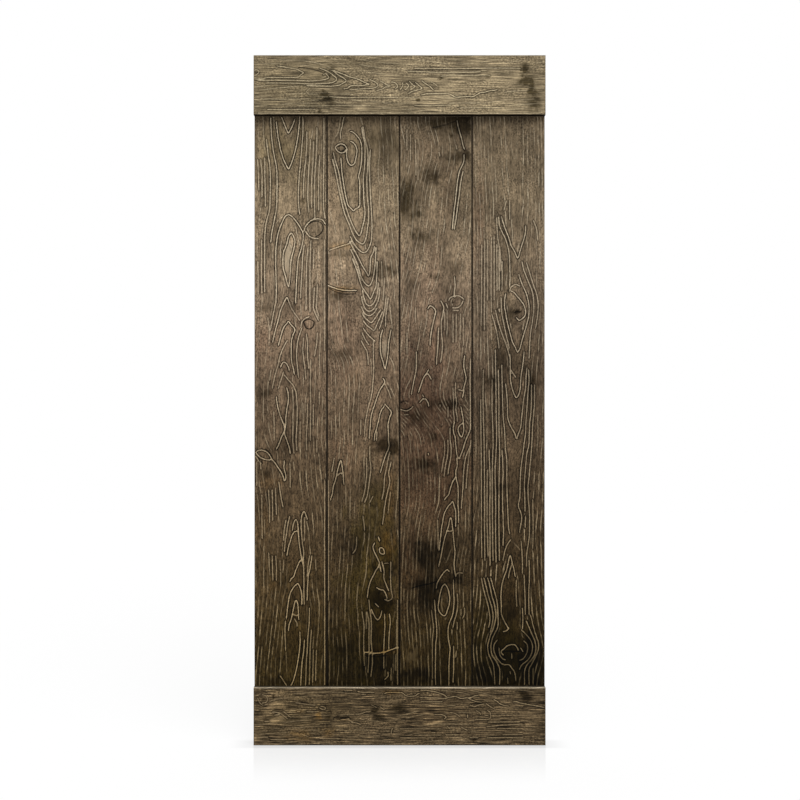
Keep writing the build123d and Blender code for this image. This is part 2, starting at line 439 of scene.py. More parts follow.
# %% Pale lines of plank 2
drawn["plank_2"] = [
    # the loops round the first knot
    (1.0, 341,158, 341.6,168, 342.8,178, 344.4,189, 346.2,198, 348,205, 351,208.3, 353.5,210.8, 355.5,209,
     357.5,208, 359.8,205, 359.8,192, 359.6,182, 358.8,176, 360.3,170, 361.6,160, 361.8,148, 360.5,141,
     357,136, 353.5,132.5, 351,131.5),
    (1.0, 347,149, 346.6,156, 348,162, 351,165.3, 354.3,163.8, 356,158, 357,151, 356,146.5, 353.5,143,
     351,141.5),
    (1.0, 335.3,147.5, 338,145, 342,144, 345.3,146, 346.5,149, 344,152.5, 340.5,152.8, 337.3,151,
     335.3,147.5),
    (0.7, 344,117, 342.2,126, 340.5,133, 340.8,139), (0.7, 363.3,127, 364.6,137),
    (0.9, 361.8,128, 363,136, 364.8,143, 365,155, 364.5,168, 363.3,178, 363.6,190, 364,202, 365,212,
     364.3,220, 362.3,228, 361,233, 359,235.7, 355,230, 351,221.5, 347.5,212, 344.8,203, 342.3,193,
     340.3,181, 338.2,170, 335.2,160, 333.5,153),
    (0.8, 364.5,138, 367,146, 368,156, 367.6,168, 366.8,180, 367.2,194, 368.3,206, 368.6,218, 367.3,230,
     366,238, 363.8,243.5, 361,243.5, 356.5,240, 352.5,233, 349,224, 344.8,214, 342.2,204, 339.6,192,
     337.2,180, 335,169, 332.6,160),
    (0.8, 370.4,150, 369.6,164, 369.8,180, 370.5,196, 371.3,210, 372,225, 371.5,238, 369.8,246, 366.5,251.5,
     362.5,252.3, 357.5,248.5, 353.5,243, 350.5,237),
    # the nest of pointed tongues below them
    (0.9, 374.5,247, 373,253, 370.8,257.5, 370.2,265, 369.8,272, 368.5,276, 366.5,272.5, 363.3,267.5,
     360.5,262, 357,255, 353,248, 349.8,241.5),
    (0.9, 376,248, 375.3,262, 374.3,271, 373,278, 371,283.5, 369,286, 366.3,284.5, 363,280.5, 360.5,275,
     358,266, 354.5,257.5, 351,250),
    (0.9, 377.3,262, 376.8,275, 376,286, 373.3,293, 370.7,299, 368,295.5, 364.5,290.5, 361.5,285.5,
     359.5,279, 356.5,269, 352.5,259),
    (0.8, 378.5,283, 377.5,292, 375.5,299.5, 372.5,304.5, 369,305.8, 366,303.3, 364.2,298, 362.3,291),
    (0.8, 380,288, 379,297, 376.5,304.5, 373.2,309.3, 369,311.3, 365.3,308.5, 363,303.5, 361.5,297),
    (0.8, 377,308.5, 374,313, 370,315.5, 366.5,314.7, 363.5,311.5, 361.3,307),
    (0.8, 380.5,310, 376.5,316, 371.8,322.5, 368.5,320.8, 364.5,317, 362.5,313.5),
    (0.8, 382.5,312, 379.3,319, 376.5,325.5, 374,330.3, 370,327.8, 366.5,325, 363.5,321),
    (0.8, 363.5,328.5, 367,333.5, 371,337.8, 374.8,341), (0.7, 362.3,333, 364.8,338.5, 368.5,344.5),
    (0.7, 361.5,341, 364,346, 366.8,351, 368,358, 368.3,364),
    (0.7, 379.3,329, 382,321, 384,312, 385.5,303, 386.2,296),
    (0.7, 385.5,326, 385.8,316, 387,307, 388.3,298), (0.6, 383,300, 384,288, 384.5,278),
    (0.6, 381.5,262, 382,275, 382,286),
    (0.7, 373.3,342, 373.5,355, 373.7,370, 373.2,380, 372.3,390, 371,398, 368,408, 366.3,418),
    # the drop, and the arrow heads under it
    (1.0, 382.5,330, 380.8,336, 380.3,345, 380.8,354, 382.8,361, 385,368.5, 386.8,361, 388,352, 388.6,343,
     390,335, 391,330),
    (1.0, 383.3,378.5, 384.8,382, 382,386.5, 379,392, 376.8,398, 374.8,404, 372.5,411, 371,418, 370,428,
     369.2,438),
    (0.5, 385,384, 388,390, 391,398),
    (1.0, 374.3,440, 375,434, 376.5,429, 378,423, 379.3,417, 381,411, 384,406.5),
    (1.0, 385,404, 388,407.5, 391.3,412, 389.5,418, 388,425, 388.5,433, 388.5,440, 389,447, 386.5,453,
     384,460, 382.3,466, 380.5,472),
    (0.7, 377,432, 376.5,440), (0.6, 366,418, 365,426, 364.5,436), (0.6, 361,420, 360.6,434),
    (0.7, 370,446, 369.8,458, 371,468, 370,477, 368.8,486, 367.3,495, 365,502),
    (0.6, 366.5,458, 366.8,470, 366,482, 364.5,492, 362,501),
    (0.7, 389.8,452, 388,460, 386,470, 384.5,478, 383.8,490, 382,499),
    (0.8, 391,462, 388.7,473, 389.8,481, 388,490, 386,499, 384.7,507, 383.7,516, 382.5,524),
    (0.6, 390.5,492, 389.3,502, 388,513), (0.5, 370,502, 373,496),
    (1.0, 330.5,500, 332.5,493, 333.5,486, 335.5,480, 337,473, 338.5,467, 340.7,460.3, 342,465, 343,472,
     343.5,480, 344,484),
    (0.8, 338,475, 340.5,473, 342,474), (0.7, 334.3,458, 333,465, 332,471),
    (0.7, 363,516, 364,523, 364.5,530), (0.8, 356.7,537, 356.5,545, 355.3,550, 353,553),
    # the eye-shaped knot
    (1.0, 378.5,537, 379.5,540.5), (1.0, 374.5,543, 373,547, 375,553, 377.5,558, 379.3,562),
    (1.0, 379.5,548, 379.8,552, 382.5,554, 384.5,553, 383.5,549, 381.3,547.5, 379.5,548),
    (1.0, 379.5,563, 378,567, 375.5,571, 373.5,575, 371,580, 368.5,588, 367.3,597), (1.0, 380,566, 381,571),
    (0.9, 382,562, 384,570, 384,578, 386,584, 388.5,590), (0.8, 390.8,562, 390.6,575, 391,588, 392.5,597),
    (0.7, 385,563, 388,563), (1.0, 377,587.5, 380.5,589.5, 383.5,590, 386,594, 387,598),
    (0.9, 385,599.5, 388,600.5, 391.5,599), (1.0, 375.5,603.5, 378.5,606.5),
    (1.0, 371.5,609, 373.5,614, 377.5,619.5, 380.5,616, 381.8,611),
    (0.8, 369,600, 370,610, 371.3,620, 371.5,628, 371.3,640, 372,650, 372.5,662, 371,676),
    (0.7, 367,612, 369,622, 369,640, 369,655, 368,672),
    (0.6, 362,612, 364,625, 363.7,640, 364,655, 364.5,665), (0.5, 366.3,612, 366.5,628),
    (0.9, 384.5,614, 385,625, 384.3,638, 383.8,650, 383.8,668),
    (0.9, 389.5,614, 390.3,622, 389.3,632, 388.8,642, 389,649), (0.6, 396.5,620, 396.5,645),
    (0.5, 395.5,655, 395.3,670), (0.8, 388,672, 388,676, 385,679), (0.6, 391.3,668, 391,680),
    # the amber streaks, and the pale arrises at the joints, partly wear and partly a painted highlight
    (1.2, 327,285, 333,287.5, 340,289.5, 348,290.5, 356,290.5), (0.8, 330,250, 340,246.5, 348,244, 352,241),
    (1.4, 365,652, 375,653, 385,651.5, 398,647), (0.5, 397.5,600, 397.3,640, 397.5,684),
    (0.5, 328.5,480, 328.7,540, 328.5,600),
]
print("pale lines on plank 2:", len(drawn["plank_2"]))

# %% Pale lines of plank 3
drawn["plank_3"] = [
    (1, 457,121, 459,130, 461.3,138, 463,145.5, 464.3,149),
    (1, 464,155, 463.7,161.5, 461.7,166.5, 459.5,171, 458,178, 457,185, 456.3,192, 455.4,200, 454.3,209,
     453.3,218, 452.2,229),
    (0.9, 463,172, 461.5,178, 460.3,185, 459.4,193, 458,203, 457,211, 455.8,219, 454.4,229),
    (0.5, 455.8,145, 456.8,149), (0.5, 439,152.5, 439.8,156), (0.5, 407,130, 407,150),
    (0.5, 410.5,135, 410.5,160), (0.5, 415.5,140, 415.8,175), (0.4, 418,150, 418,180),
    (0.9, 454.5,277, 455,286, 454.3,292, 454.3,297),
    (0.7, 448.5,300.5, 450.5,297.5, 454,296.3, 458,295.7, 461,297, 463.5,299),
    (0.7, 462.8,301.5, 461,305, 457.3,307.6, 452.8,307.8), (0.7, 446,303.5, 447.6,307.7),
    (0.6, 453.3,310.3, 458.3,310.3),
    (1, 428,308.5, 429.7,306, 432.5,306.7, 435.5,310.5, 435,315, 433.5,321, 432,328, 430.6,336, 430,345),
    (0.8, 441,301, 443.7,307, 443,313, 441.3,322, 441.5,332, 442.3,343, 441.8,354, 440.5,362),
    (0.9, 438.6,328, 438,340, 437.6,350, 436.7,358, 436.5,364), (0.5, 415.4,308, 415.5,322),
    (0.6, 407,333, 407,353), (0.5, 444.5,312, 444.8,330), (0.5, 453,314, 453,342),
    (0.5, 456.3,314, 456,342), (0.5, 460.3,314, 460,340), (0.5, 463.3,318, 463.5,345),
    (0.9, 416.3,352, 416.3,367, 415.3,374, 413.8,381, 412.5,388, 411.5,394),
    (1, 428.5,370, 426,374, 423.5,378, 421.6,382.5, 420.2,387, 418.5,392),
    (0.8, 426,374, 428.5,374.5, 431,379), (1, 420,402, 422.5,399.5, 425.5,399, 428,402.5, 428.7,406),
    (0.8, 422.8,395, 423.3,396.5), (0.8, 401,409.5, 406.3,410.7, 410.5,409, 412.8,406.5),
    (0.6, 404.5,414.8, 408,414.5),
    (1, 464.5,356, 463.7,365, 464.8,372, 466,378, 465.2,383, 463.8,388, 463.6,392, 462.5,397),
    (0.8, 459,389.8, 462,390.7), (0.8, 455.5,383, 455.5,394, 456.6,402, 455.8,409, 457,416, 457.3,421),
    (0.7, 452.8,388, 453.5,400, 453.2,410, 454,417, 454,422), (0.6, 448,407, 448,417),
    (1, 461,407, 461.8,412, 463,418, 463.4,424, 463.8,430, 462.8,434.5, 461.2,437, 458.8,433, 458,429,
     459.7,425.3, 462.5,423.5),
    (1, 454.5,422, 453.3,427, 453.6,432, 455.2,438, 455.9,446, 456.5,452, 457.6,457, 459.5,458.5),
    (1, 470.3,424, 470,430, 467.5,436, 465,442, 463.3,448, 461.5,453, 459.5,458.5),
    (1, 456.7,458, 457.2,465, 455.8,471, 456,476, 456.8,481, 457.8,486, 458.2,495, 458,505, 458.6,514,
     458.5,522),
    (1, 456,476, 453,481, 451,486, 449.6,491, 448.6,494.5, 446.3,497, 444.5,499.5),
    (0.8, 450,428, 450,438, 451,446, 451.2,452, 450,461, 448.6,469, 448,474),
    (0.7, 447.8,440, 448,449, 447,458, 445.4,466, 444,476), (0.6, 444.5,441, 444.6,452, 443,462, 441.5,472),
    (0.8, 470.5,445, 467,453, 464.7,462, 463.5,473, 463,484, 462.3,495, 461.3,508),
    (0.7, 470.5,359, 470,375, 470.2,400, 470.3,424), (0.7, 471,440, 469.5,452, 468,464, 466.6,478, 466,488),
    (1, 439,550, 440,542, 440.8,535, 441.5,528, 442.8,521, 444,514.5, 446,509.5, 448.3,506, 450.6,503.5,
     452.6,501.4, 454,505.5, 455.4,510.5, 455.7,518, 455.6,526),
    (1, 438.8,566, 440,560, 441.3,554.5, 442.3,549, 443.6,542, 445.2,536, 447,530.5, 448.8,525, 449.2,521.5,
     450.5,517.5, 451.8,520.5, 452.3,526, 453.2,532, 453.5,538, 454.2,544.5, 455,551, 454.5,558, 454,564.5,
     454.8,571, 455.6,576),
    (0.6, 446.5,531, 451,531), (0.5, 437.5,520, 438,535, 438,548),
    (1, 449,571, 447,569.5, 444.5,571.5, 441.3,575.5, 439,579.5, 437.2,583, 436.3,588),
    (1.2, 444.8,583.8, 442.6,585.7, 441.2,589.5, 440,594, 438.9,600, 438.2,606, 438.8,610.5, 441,613.5,
     443.7,615.5, 446,614, 447.5,609.5, 449.2,604, 449.7,598, 449,593, 448.4,589.8, 446.8,586.3,
     444.8,583.8),
    (1, 453.3,580, 453.6,590, 454,600, 453.5,609, 452.2,615.5, 450.2,620.5, 448.6,625.5, 448,631, 448.2,637,
     449,642, 450,648, 449.5,655, 449,665, 448.9,675, 448.7,685),
    (0.8, 457.2,594, 457.8,602, 457.2,609, 456,615, 454.2,621, 452.8,627.5),
    (0.6, 464.5,608, 464.5,613.6, 462.6,618), (0.5, 461,609, 461,615), (0.6, 457.2,622, 457.2,629),
    (0.9, 453.6,646, 453.6,656, 453.6,668, 453,682), (0.7, 456.3,651, 455.8,656.5),
    (0.9, 434.5,600, 435.2,610, 436,620, 436.8,629, 436.6,637, 435.7,645, 435.5,658, 435.3,670, 435.6,684),
    (0.6, 431.5,610, 432.6,620, 433.5,628, 432.5,638, 432.3,650, 432.3,662, 432.5,678),
    (0.5, 456,574, 459,572.5, 462.5,573), (0.7, 440,405, 440,406.5), (0.9, 428.3,453.3, 428.5,454.7),
]
print("pale lines on plank 3:", len(drawn["plank_3"]))

# %% Pale lines of plank 4
drawn["plank_4"] = [
    (0.9, 501.5,217, 503.5,224, 506,231, 508.8,238, 511,245.5, 514.5,251.5, 517.6,258.2, 519.8,252,
     521.5,246, 523.6,240, 525.2,233, 525.6,226),
    (0.8, 498.5,217.5, 499.7,226, 502,232, 505,238, 507,244, 508.8,251, 509.6,260, 509.8,270, 510,280,
     509.5,287),
    (0.6, 496.3,218, 497,228, 498,240, 500,252, 501.5,270), (0.7, 509.5,201, 509.7,219),
    (0.5, 506.3,201, 504,210), (0.6, 533.5,221, 536.3,228.5, 537.6,240),
    (0.6, 481.7,245, 481.5,290, 481,325), (0.6, 484.7,240, 484.5,290, 484.3,330),
    (0.5, 487.6,240, 487.5,300), (0.6, 491.3,238, 491,290, 491.5,312), (0.6, 494,236, 494.2,300),
    (0.7, 496.7,245, 497,290), (0.7, 499.2,250, 499.3,290), (0.6, 502.3,262, 502,290),
    (1, 505.5,294, 504.5,301, 504.6,307, 505.6,313, 506.8,320, 508.6,328, 510.4,335, 512.3,341.5,
     515.4,347.7, 517.6,352, 520,347.7, 521.5,342, 523.2,336, 525.4,328.6, 527.3,322, 528.6,316, 529,309.5,
     528.5,302.5, 527,296, 524.5,289.5, 521.3,282.5, 519,275),
    (1, 511,291, 514,292.5, 517.3,296.5, 521,300.8, 524,305.3, 525.5,311, 525,315.5, 522.5,318.5, 519,320.3,
     516.5,318),
    (0.8, 509.3,291, 511.3,287, 515.5,284.5, 519.5,286),
    (0.8, 501,298, 501.5,310, 503,320, 505,330, 507,339, 509.3,348),
    (0.8, 495.4,310.5, 498,321.5, 500.8,330.5, 503.5,338, 507.2,348, 509.5,356),
    (0.7, 491.7,314, 494,321.5, 496.3,330.5, 497.8,338, 499,348), (0.9, 499,309, 499.2,311.5),
    (0.8, 522,262, 524,271, 528,281, 532,291, 533.5,301, 533.5,312, 532,323, 530.3,334, 529.5,346, 529,358),
    (0.7, 526.5,263, 529.5,273, 533,284, 536.5,294, 538,303, 537.5,315, 535.5,328),
    (1, 509.8,355, 510.2,364, 510.2,372, 510.5,381, 512,388, 514.5,395, 516.3,397.5, 518.5,395, 520,389,
     520.5,382, 521,375, 522.3,368, 523.2,361, 524,352),
    (0.7, 511,370, 513,373.5, 515.5,377),
    (0.9, 505.5,384, 507,398, 507.3,410, 507.6,417, 509.3,423, 512,428.5, 514.8,433.5, 516.3,438.5,
     518.3,433.5, 520.2,429, 521.3,421, 522.3,411, 523.3,402, 524.5,394, 525.6,386, 526,377, 526.7,368),
    (0.9, 528.5,370, 529,380, 528,390, 527.4,400, 526.7,410, 525.9,422, 525.3,434, 523.9,445, 522.8,454,
     521.5,463, 520.5,472, 520,484, 519.7,497, 518.3,506, 520.7,512, 521.6,519, 520.4,526, 519.5,532),
    (0.9, 531.5,385, 531,410, 529.5,424, 528.8,444, 526.8,453, 525.5,467, 524.2,484, 524.8,498, 524.9,511),
    (0.8, 525.5,516, 525,527),
    (0.8, 534.5,385, 534.3,405, 532.7,424, 531.7,445, 530.3,462, 528.8,478, 527.8,490, 528.8,505, 529.5,518,
     529.2,534, 528.2,544, 526.8,552, 526.3,566),
    (0.8, 480.5,400, 481,440, 481.3,470, 481.3,500, 481.3,530, 481.7,557),
    (0.8, 483.3,370, 483,400, 484,440, 484.4,480, 484.4,520, 484.8,560),
    (0.7, 487.3,470, 487,500, 487.2,530, 488,556), (0.9, 489,450, 490,480, 489.7,510, 490,540, 490,565),
    (0.8, 492,380, 492,410, 493,440, 492.2,470, 492.3,500, 492.5,530, 493,560),
    (0.9, 495.3,350, 495.8,380, 496,410, 496.5,440, 495,470, 495.6,500, 495.5,530, 496,562),
    (0.9, 498.3,370, 498.8,400, 499,430, 499.5,455, 499,480, 498.8,510, 499,535, 499.3,560),
    (0.9, 501.7,365, 502.3,390, 503,415, 504.5,430, 505.2,448, 506.7,460, 506.7,480, 507.2,498, 508,518,
     508.6,528, 509.5,533.5),
    (0.9, 502,450, 503,470, 502.5,490, 502.8,511, 503.4,530, 503,545),
    (0.8, 510.5,539.5, 507.8,543.5, 505.8,547.5, 504.3,553, 503,560),
    (1, 515,576, 514,570, 512.3,563.5, 511.3,558.5, 510,555.5, 508.6,560, 507.6,565.5, 506.3,570.5,
     504.5,575.5, 502.7,581, 501.4,587.5, 500.8,597, 501.3,606, 501.4,613.5, 503.5,619.5, 506,624,
     508.3,628.5),
    (1, 503.5,631.4, 507.2,630, 508.5,627.5), (0.8, 511.3,565, 509.6,571, 508.5,577.5),
    (1, 504.5,621.5, 507,626), (0.8, 521,541, 521.7,550, 522.2,560, 522.3,573),
    (0.8, 524,575, 524.6,588, 525,600, 525.3,614), (1, 522.3,608, 522.7,618, 522.5,628),
    (0.8, 529,560, 529.4,575, 528.8,590, 528.7,604, 529,614), (0.6, 532.5,500, 533,520, 533,535, 532.5,548),
    (0.6, 516.3,580, 516,592, 516.7,606),
    (0.8, 481.3,578, 483,587, 485,595, 487.6,604, 489.3,613, 490,620, 488.5,627),
    (0.8, 484,578, 486.3,587, 488.5,596, 491.5,606, 493,616, 491.7,626, 490.2,632),
    (0.9, 487.6,578, 490,587, 491.8,595.5, 494.5,605, 495.8,616, 493.6,627.3, 490.6,634.5, 488.6,641,
     487.6,647.3, 488.8,654.5, 491.4,660, 493.8,667, 494.7,684),
    (1, 490.8,578, 493,586.5, 495.4,595, 497.3,604, 498,616, 498,624, 496.8,629, 493.9,634.5, 491.8,640,
     490.8,647.3, 492,654.5, 495.4,660, 498.5,665.5, 499.7,671, 499.5,684),
    (0.9, 497,640, 494.5,643.6, 493.5,647.3, 494.5,652.7, 497,658, 500.8,662.7, 504.5,664.5, 509,664.5,
     511.7,668, 514.5,671.8, 515.8,679),
    (0.8, 499,648, 499.5,653.6, 501.7,657.7, 505,659.5),
    (1.2, 503,654.5, 501,651.3, 504.5,648, 507.2,645.5, 510.8,644.5, 514.5,644.5, 517.2,647.3, 518,650),
    (0.9, 520.8,648, 522.6,651), (0.8, 524,641, 526.7,643.6, 527.6,647.3, 526.7,652.7, 523.5,658, 520,660),
    (0.9, 521.7,630, 526.3,634.5, 530,639, 532.2,644.5, 532.2,650, 530,656.4, 526.3,661, 521.7,664.5,
     519.5,669),
    (0.9, 526.3,621, 529.3,628, 532.6,635.5, 534.5,640, 535.8,647.3, 534.5,654.5, 530.8,660, 526.3,665.5,
     524.5,671, 524.5,684),
    (0.8, 530.5,615, 533.5,627, 536.3,636.4, 538.5,643, 538,650, 535.4,656.4, 531.7,663.6, 529,670,
     529,684),
    (0.5, 533,668, 533,684), (0.6, 511.7,653.6, 511.7,658), (0.6, 510,671.5, 510.5,673.5),
    (0.6, 515,673, 515.8,680), (0.6, 507.5,678, 507.8,683),
]
print("pale lines on plank 4:", len(drawn["plank_4"]))

# %% Pale lines of top rail
drawn["top_rail"] = [
    (0.8, 254.4,70.6, 257,70.2, 258.9,71.5, 258.5,73.5, 256.5,75.2, 254.4,75.8),
    (0.9, 256,79.5, 262,79, 267,78, 272,77.8, 290,77.8, 298,77.5, 300.5,75.5, 303.5,73, 300.5,71.3,
     297,69.5, 292,68.7, 284,67.2, 277,66.3),
    (1, 258,80.6, 285,80.6, 300,80.8, 310,81.3, 320,80.7, 326,79.5, 329,78, 327.5,75.8, 325.5,73.7,
     323.5,75),
    (1, 266,83.3, 294,83.5, 307.5,84.2, 317,84.2, 330,83.3, 335,81.7, 336.8,80, 336.3,78, 334,76.3,
     330.5,73.5, 327.5,71.7, 324,70, 320,68.5),
    (1, 307.5,86, 318.5,86.4, 330,86.5, 338.5,85.8, 343,83.5, 345.7,82.2, 346,80.3, 343,78, 340,76.3,
     336.5,74, 334,71.7, 331,70.4),
    (1.1, 334.5,71, 340,73.3, 345,75.3, 350,77.2, 355.5,78.8, 360,80.4, 363.5,82.2, 369,84.5, 365,85.5,
     360.5,85.9, 353,86, 349.5,87, 347.5,88.6, 344,89.2),
    (0.9, 370,80, 375,82.2, 377.7,84.5, 377.5,86.5, 374.5,88.2, 369,88.8, 357.5,89.5, 350,90),
    (0.9, 380.5,81.3, 384,83.5, 387.5,85.4, 390.3,86.3, 388,87.2, 385,87.6, 382,89.5, 377,90.8),
    (0.9, 391.5,82.2, 395,83, 397.5,85.4, 397.3,87.6, 395.3,89),
    (0.9, 402.5,83.5, 403,85.5, 401.8,87.6, 400.3,90), (0.9, 406.3,83.5, 408.5,85.8, 407.6,88, 405.3,90),
    (0.9, 409.5,81.7, 412.6,85, 415,86.7, 413,88.4, 410.4,90),
    (1, 416,83, 419.5,86.3, 422.2,88.4, 420.3,89.5, 417.2,90.4, 412.6,91.7, 409,93.5),
    (1, 422.2,81.3, 426.3,84.5, 430,86.7, 433.2,90), (0.5, 431.3,82.2, 434.5,84, 437.2,86.3),
    (1.1, 421.3,95.4, 427,94, 434,94, 441,93.8, 448,94, 452,95.6, 456,97.4, 462,97.2, 468,96.8, 472,97.2,
     475,96, 480,93.2, 484.5,92.6, 489,91.2, 497,90),
    (0.9, 415,68.6, 440,68.8, 470,68.6, 500,68.4, 520,68.6),
    (0.9, 408,71.5, 420,72, 430,72.6, 450,72.9, 470,72.5, 480,72),
    (0.7, 441,76.5, 447,76, 452,75.6, 470,75.7, 483,75.3, 490,75.8), (0.6, 260,99.3, 290,99.5, 310,99),
    (0.6, 297,106.3, 320,106.2, 345,105.8, 370,106), (0.8, 268,109.8, 300,109.6, 315,109.5),
    (0.8, 330,97, 345,98, 370,97.5, 398,98), (0.5, 310,89, 307,91, 307.5,93.5, 310,94.5, 318,94.3),
    (0.8, 415,105.8, 435,105.9, 450,105.5), (0.7, 460,108.3, 480,108.1, 500,108.2),
    (0.7, 258,113.4, 320,113.6, 400,113.3, 470,113.5, 540,113.4), (0.6, 450,103.5, 480,103.2),
    (0.6, 505,92.5, 515,91.3, 528,91),
]
print("pale lines on top rail:", len(drawn["top_rail"]))

# %% Pale lines of bottom rail
drawn["bottom_rail"] = [
    (0.7, 262.5,694.5, 266,695.8, 267.8,699, 266.5,702, 263,703), (0.8, 258,698, 259.5,702, 262.5,705),
    (0.8, 265,704.6, 268,704), (1.2, 272.5,712, 276,712, 280.3,713.2), (1, 275,715, 279.4,714.5),
    (0.7, 280.3,712.7, 283,715, 287.5,718.6), (0.6, 283.5,711.5, 287,714, 291,717.5),
    (1, 297.5,711.5, 300.3,711.3), (1.1, 307.5,711.5, 313,711.5, 319.4,711.2),
    (0.9, 320,708, 322.5,709.3, 325,709.2, 325.6,707.5, 321,706), (0.7, 296,702.5, 305,704, 315,705),
    (1.4, 341,719.5, 345,719.3, 349.4,718.8), (0.9, 349,720, 353,722, 358,723), (0.8, 357,723, 361,724.6),
    (0.9, 355.7,714, 361,713.5, 366,711.8, 371,710.8), (1, 360.3,720, 363,719.2, 366.6,718.6),
    (0.8, 380.3,706.8, 384,709.5), (0.8, 372,705, 376.6,707.3),
    (1.1, 358,691.3, 363,692.2, 368,692, 374,692.6), (0.8, 362,694.5, 365.5,694.5),
    (1.3, 384.8,693.4, 387.5,692.4, 393,692.4, 400,692.5), (0.8, 345,690.8, 352,690.2),
    (1.1, 392.4,728.4, 391.6,731, 391.2,733.8),
    (1.2, 400,692.5, 402.6,692.7, 404.5,694.5, 408,696.1, 411.7,696.1, 415.4,695.7, 417.2,694, 419,693.4),
    (1.1, 420.8,690, 429,690.5, 435.4,691.8, 440,693.2, 444.5,695, 448,697.3, 455.4,696.4, 460.8,698.2,
     466.3,697.7, 470.8,697.3, 475.4,695.7, 478,695.5),
    (0.6, 441.7,690.4, 450,691, 455,691.4), (0.8, 420,697.5, 430.8,697.5, 440,698.2, 446,698.6),
    (1.1, 421,701.5, 429,701.4, 442,701.5), (1.2, 468,697.7, 471.7,700, 476.3,701.4, 481,702),
    (0.9, 470,705.2, 474.5,706.4, 478,705, 483.5,704), (0.8, 448,705.6, 455,705.4),
    (0.9, 486.3,703.6, 489,705.5, 491.7,707.3, 494.5,708.8),
    (1.1, 494,699.5, 497.2,701.4, 500,703.6, 503.5,705, 509,706),
    (1.2, 513,701.8, 516.3,701.5, 520,702.7, 526.3,704, 533.5,705.2, 540.8,706.6, 544,707.3),
    (1, 435,714.3, 441.7,714.5, 446.3,716.8, 444.5,718.6),
    (0.7, 450,712.3, 454.5,713.2, 458,715, 460,716.8), (1.1, 467.5,715, 467.7,717.3),
    (0.8, 476.3,710.5, 479.5,712.3, 480.4,714),
    (1, 487.6,710.5, 490,712.3, 490.8,716, 489.5,718.6, 486.3,719.5, 481,719.4, 475.4,719.4),
    (0.9, 484.5,715, 488,715.4), (0.9, 488,722.2, 500,721.8, 520,721.6),
    (0.9, 487,726.5, 497,725.5, 510,724.7, 524,724.5), (0.7, 497,728.5, 510,728.4, 522,728.6),
    (0.8, 503,734.5, 522,734.4), (1, 487,737.7, 505,737.5, 523,737.7), (0.9, 450,737.6, 462,737.6),
    (0.8, 446,734.6, 458,734.6), (0.9, 470,737.5, 478,737.6), (0.8, 402,720, 404.5,720),
    (0.7, 400,728.7, 420,728.7, 441,728.5), (0.6, 415,735, 441,735), (0.7, 400,737.7, 425,737.6),
    (0.9, 461.7,727.3, 467,730), (0.7, 447,726, 450,728.6), (0.9, 432,732.5, 435,732.5),
    (0.8, 258,737, 268,737), (0.7, 271,728.8, 282,728.6), (0.9, 271,739.4, 287,739.3),
    (0.8, 320,738.5, 340,738.6), (0.7, 345,731, 352,730.8), (0.7, 360,736, 380,735.8),
    (0.8, 352,722.4, 356,722.6), (0.9, 265,721.4, 269,721.2), (0.7, 301,734, 308,736.3),
]
print("pale lines on bottom rail:", len(drawn["bottom_rail"]))

# %% [markdown]
# ## Dark strokes
#
# A knot shows as dark rings and cracks, and wood has split here and there beside it. A stroke is
# drawn like a pale line, but it marks a groove: the mesh sinks there and the colour goes dark.

# %% Dark strokes
cracks = {}
cracks["plank_1"] = [
    (1, 309,224, 313,221.8, 318,221.5, 322,224, 323.3,228, 322,232, 319,235, 315.5,237),
    (1.2, 303.5,321.5, 306,320, 310,319.3, 313.5,321, 314,324, 312.5,327.5, 309,329, 306,327.5, 304.5,324.5,
     303.5,321.5),
    (1, 266,449, 270,453, 272,457), (1, 259,460, 263,463),
]
cracks["plank_2"] = [
    (1, 338,147, 341,145.8, 344.5,147, 345.5,149, 343,150.5, 339.5,151),
    (0.9, 329,288, 336,292, 345,294, 356,293.5), (1, 366,655.5, 376,656.5, 387,655),
]
cracks["plank_3"] = [
    (1, 400,403, 404,401, 408,400.8), (1, 402,408.8, 407,409.3, 411,407), (0.7, 432,128, 445,125, 456,121),
    (1.2, 412,588, 420,585.5, 430,583.5, 437,581),
]
cracks["plank_4"] = [
    (1.4, 503,651.5, 508,650.7, 514,651.2, 520,651), (1, 514,312.5, 517,311.5, 520,312),
]
cracks["top_rail"] = [
    (1.3, 298.5,67.6, 307.5,68.5, 313,69.5, 320,71.7, 325,73.5), (0.9, 405,70.5, 440,70.3, 480,70.2),
    (0.8, 455,74.5, 482,74), (0.7, 418,67, 440,67.3, 470,67.2, 500,67),
    (0.9, 255,108.6, 300,108.7, 330,108.5), (1, 331,70.5, 335,74, 339.5,77), (1.1, 324,98.6, 330,98.8),
    (1.1, 319,100.7, 330,100.7), (0.8, 423,100.6, 437,100.8),
]
cracks["bottom_rail"] = [
    (1.3, 333.5,719.5, 334.5,717, 338,716.3, 343,717, 349,716.8), (0.9, 320,724.4, 325,724.2, 331,724.2),
    (0.8, 330,721.5, 335,721.6), (1, 520,701.5, 530,702, 545,703),
    (1, 255.7,702.3, 259.4,703.6, 263,706, 266.6,706.6), (0.9, 263,690.5, 267.5,693.2, 270,697),
    (0.8, 489,702, 492,705), (0.7, 360,701, 375,700.5), (0.8, 470,703.5, 480,702.8),
    (0.8, 522,696.8, 532,697.2), (0.8, 372,720, 388,719.6),
]
print("dark strokes:", {name: len(strokes) for name, strokes in cracks.items()})

# %% [markdown]
# ## Stains and other patches
#
# Stain has gathered in soft patches round the knots, and brushing has bared others. A patch is
# its column,row, its half width,height in squares, and its strength. `dark` is grey-black, `warm`
# amber and `pale` bare. A `hue` above 0 is greener and one below 0 redder, and where a patch is
# `ridged` the growth rings show more strongly.

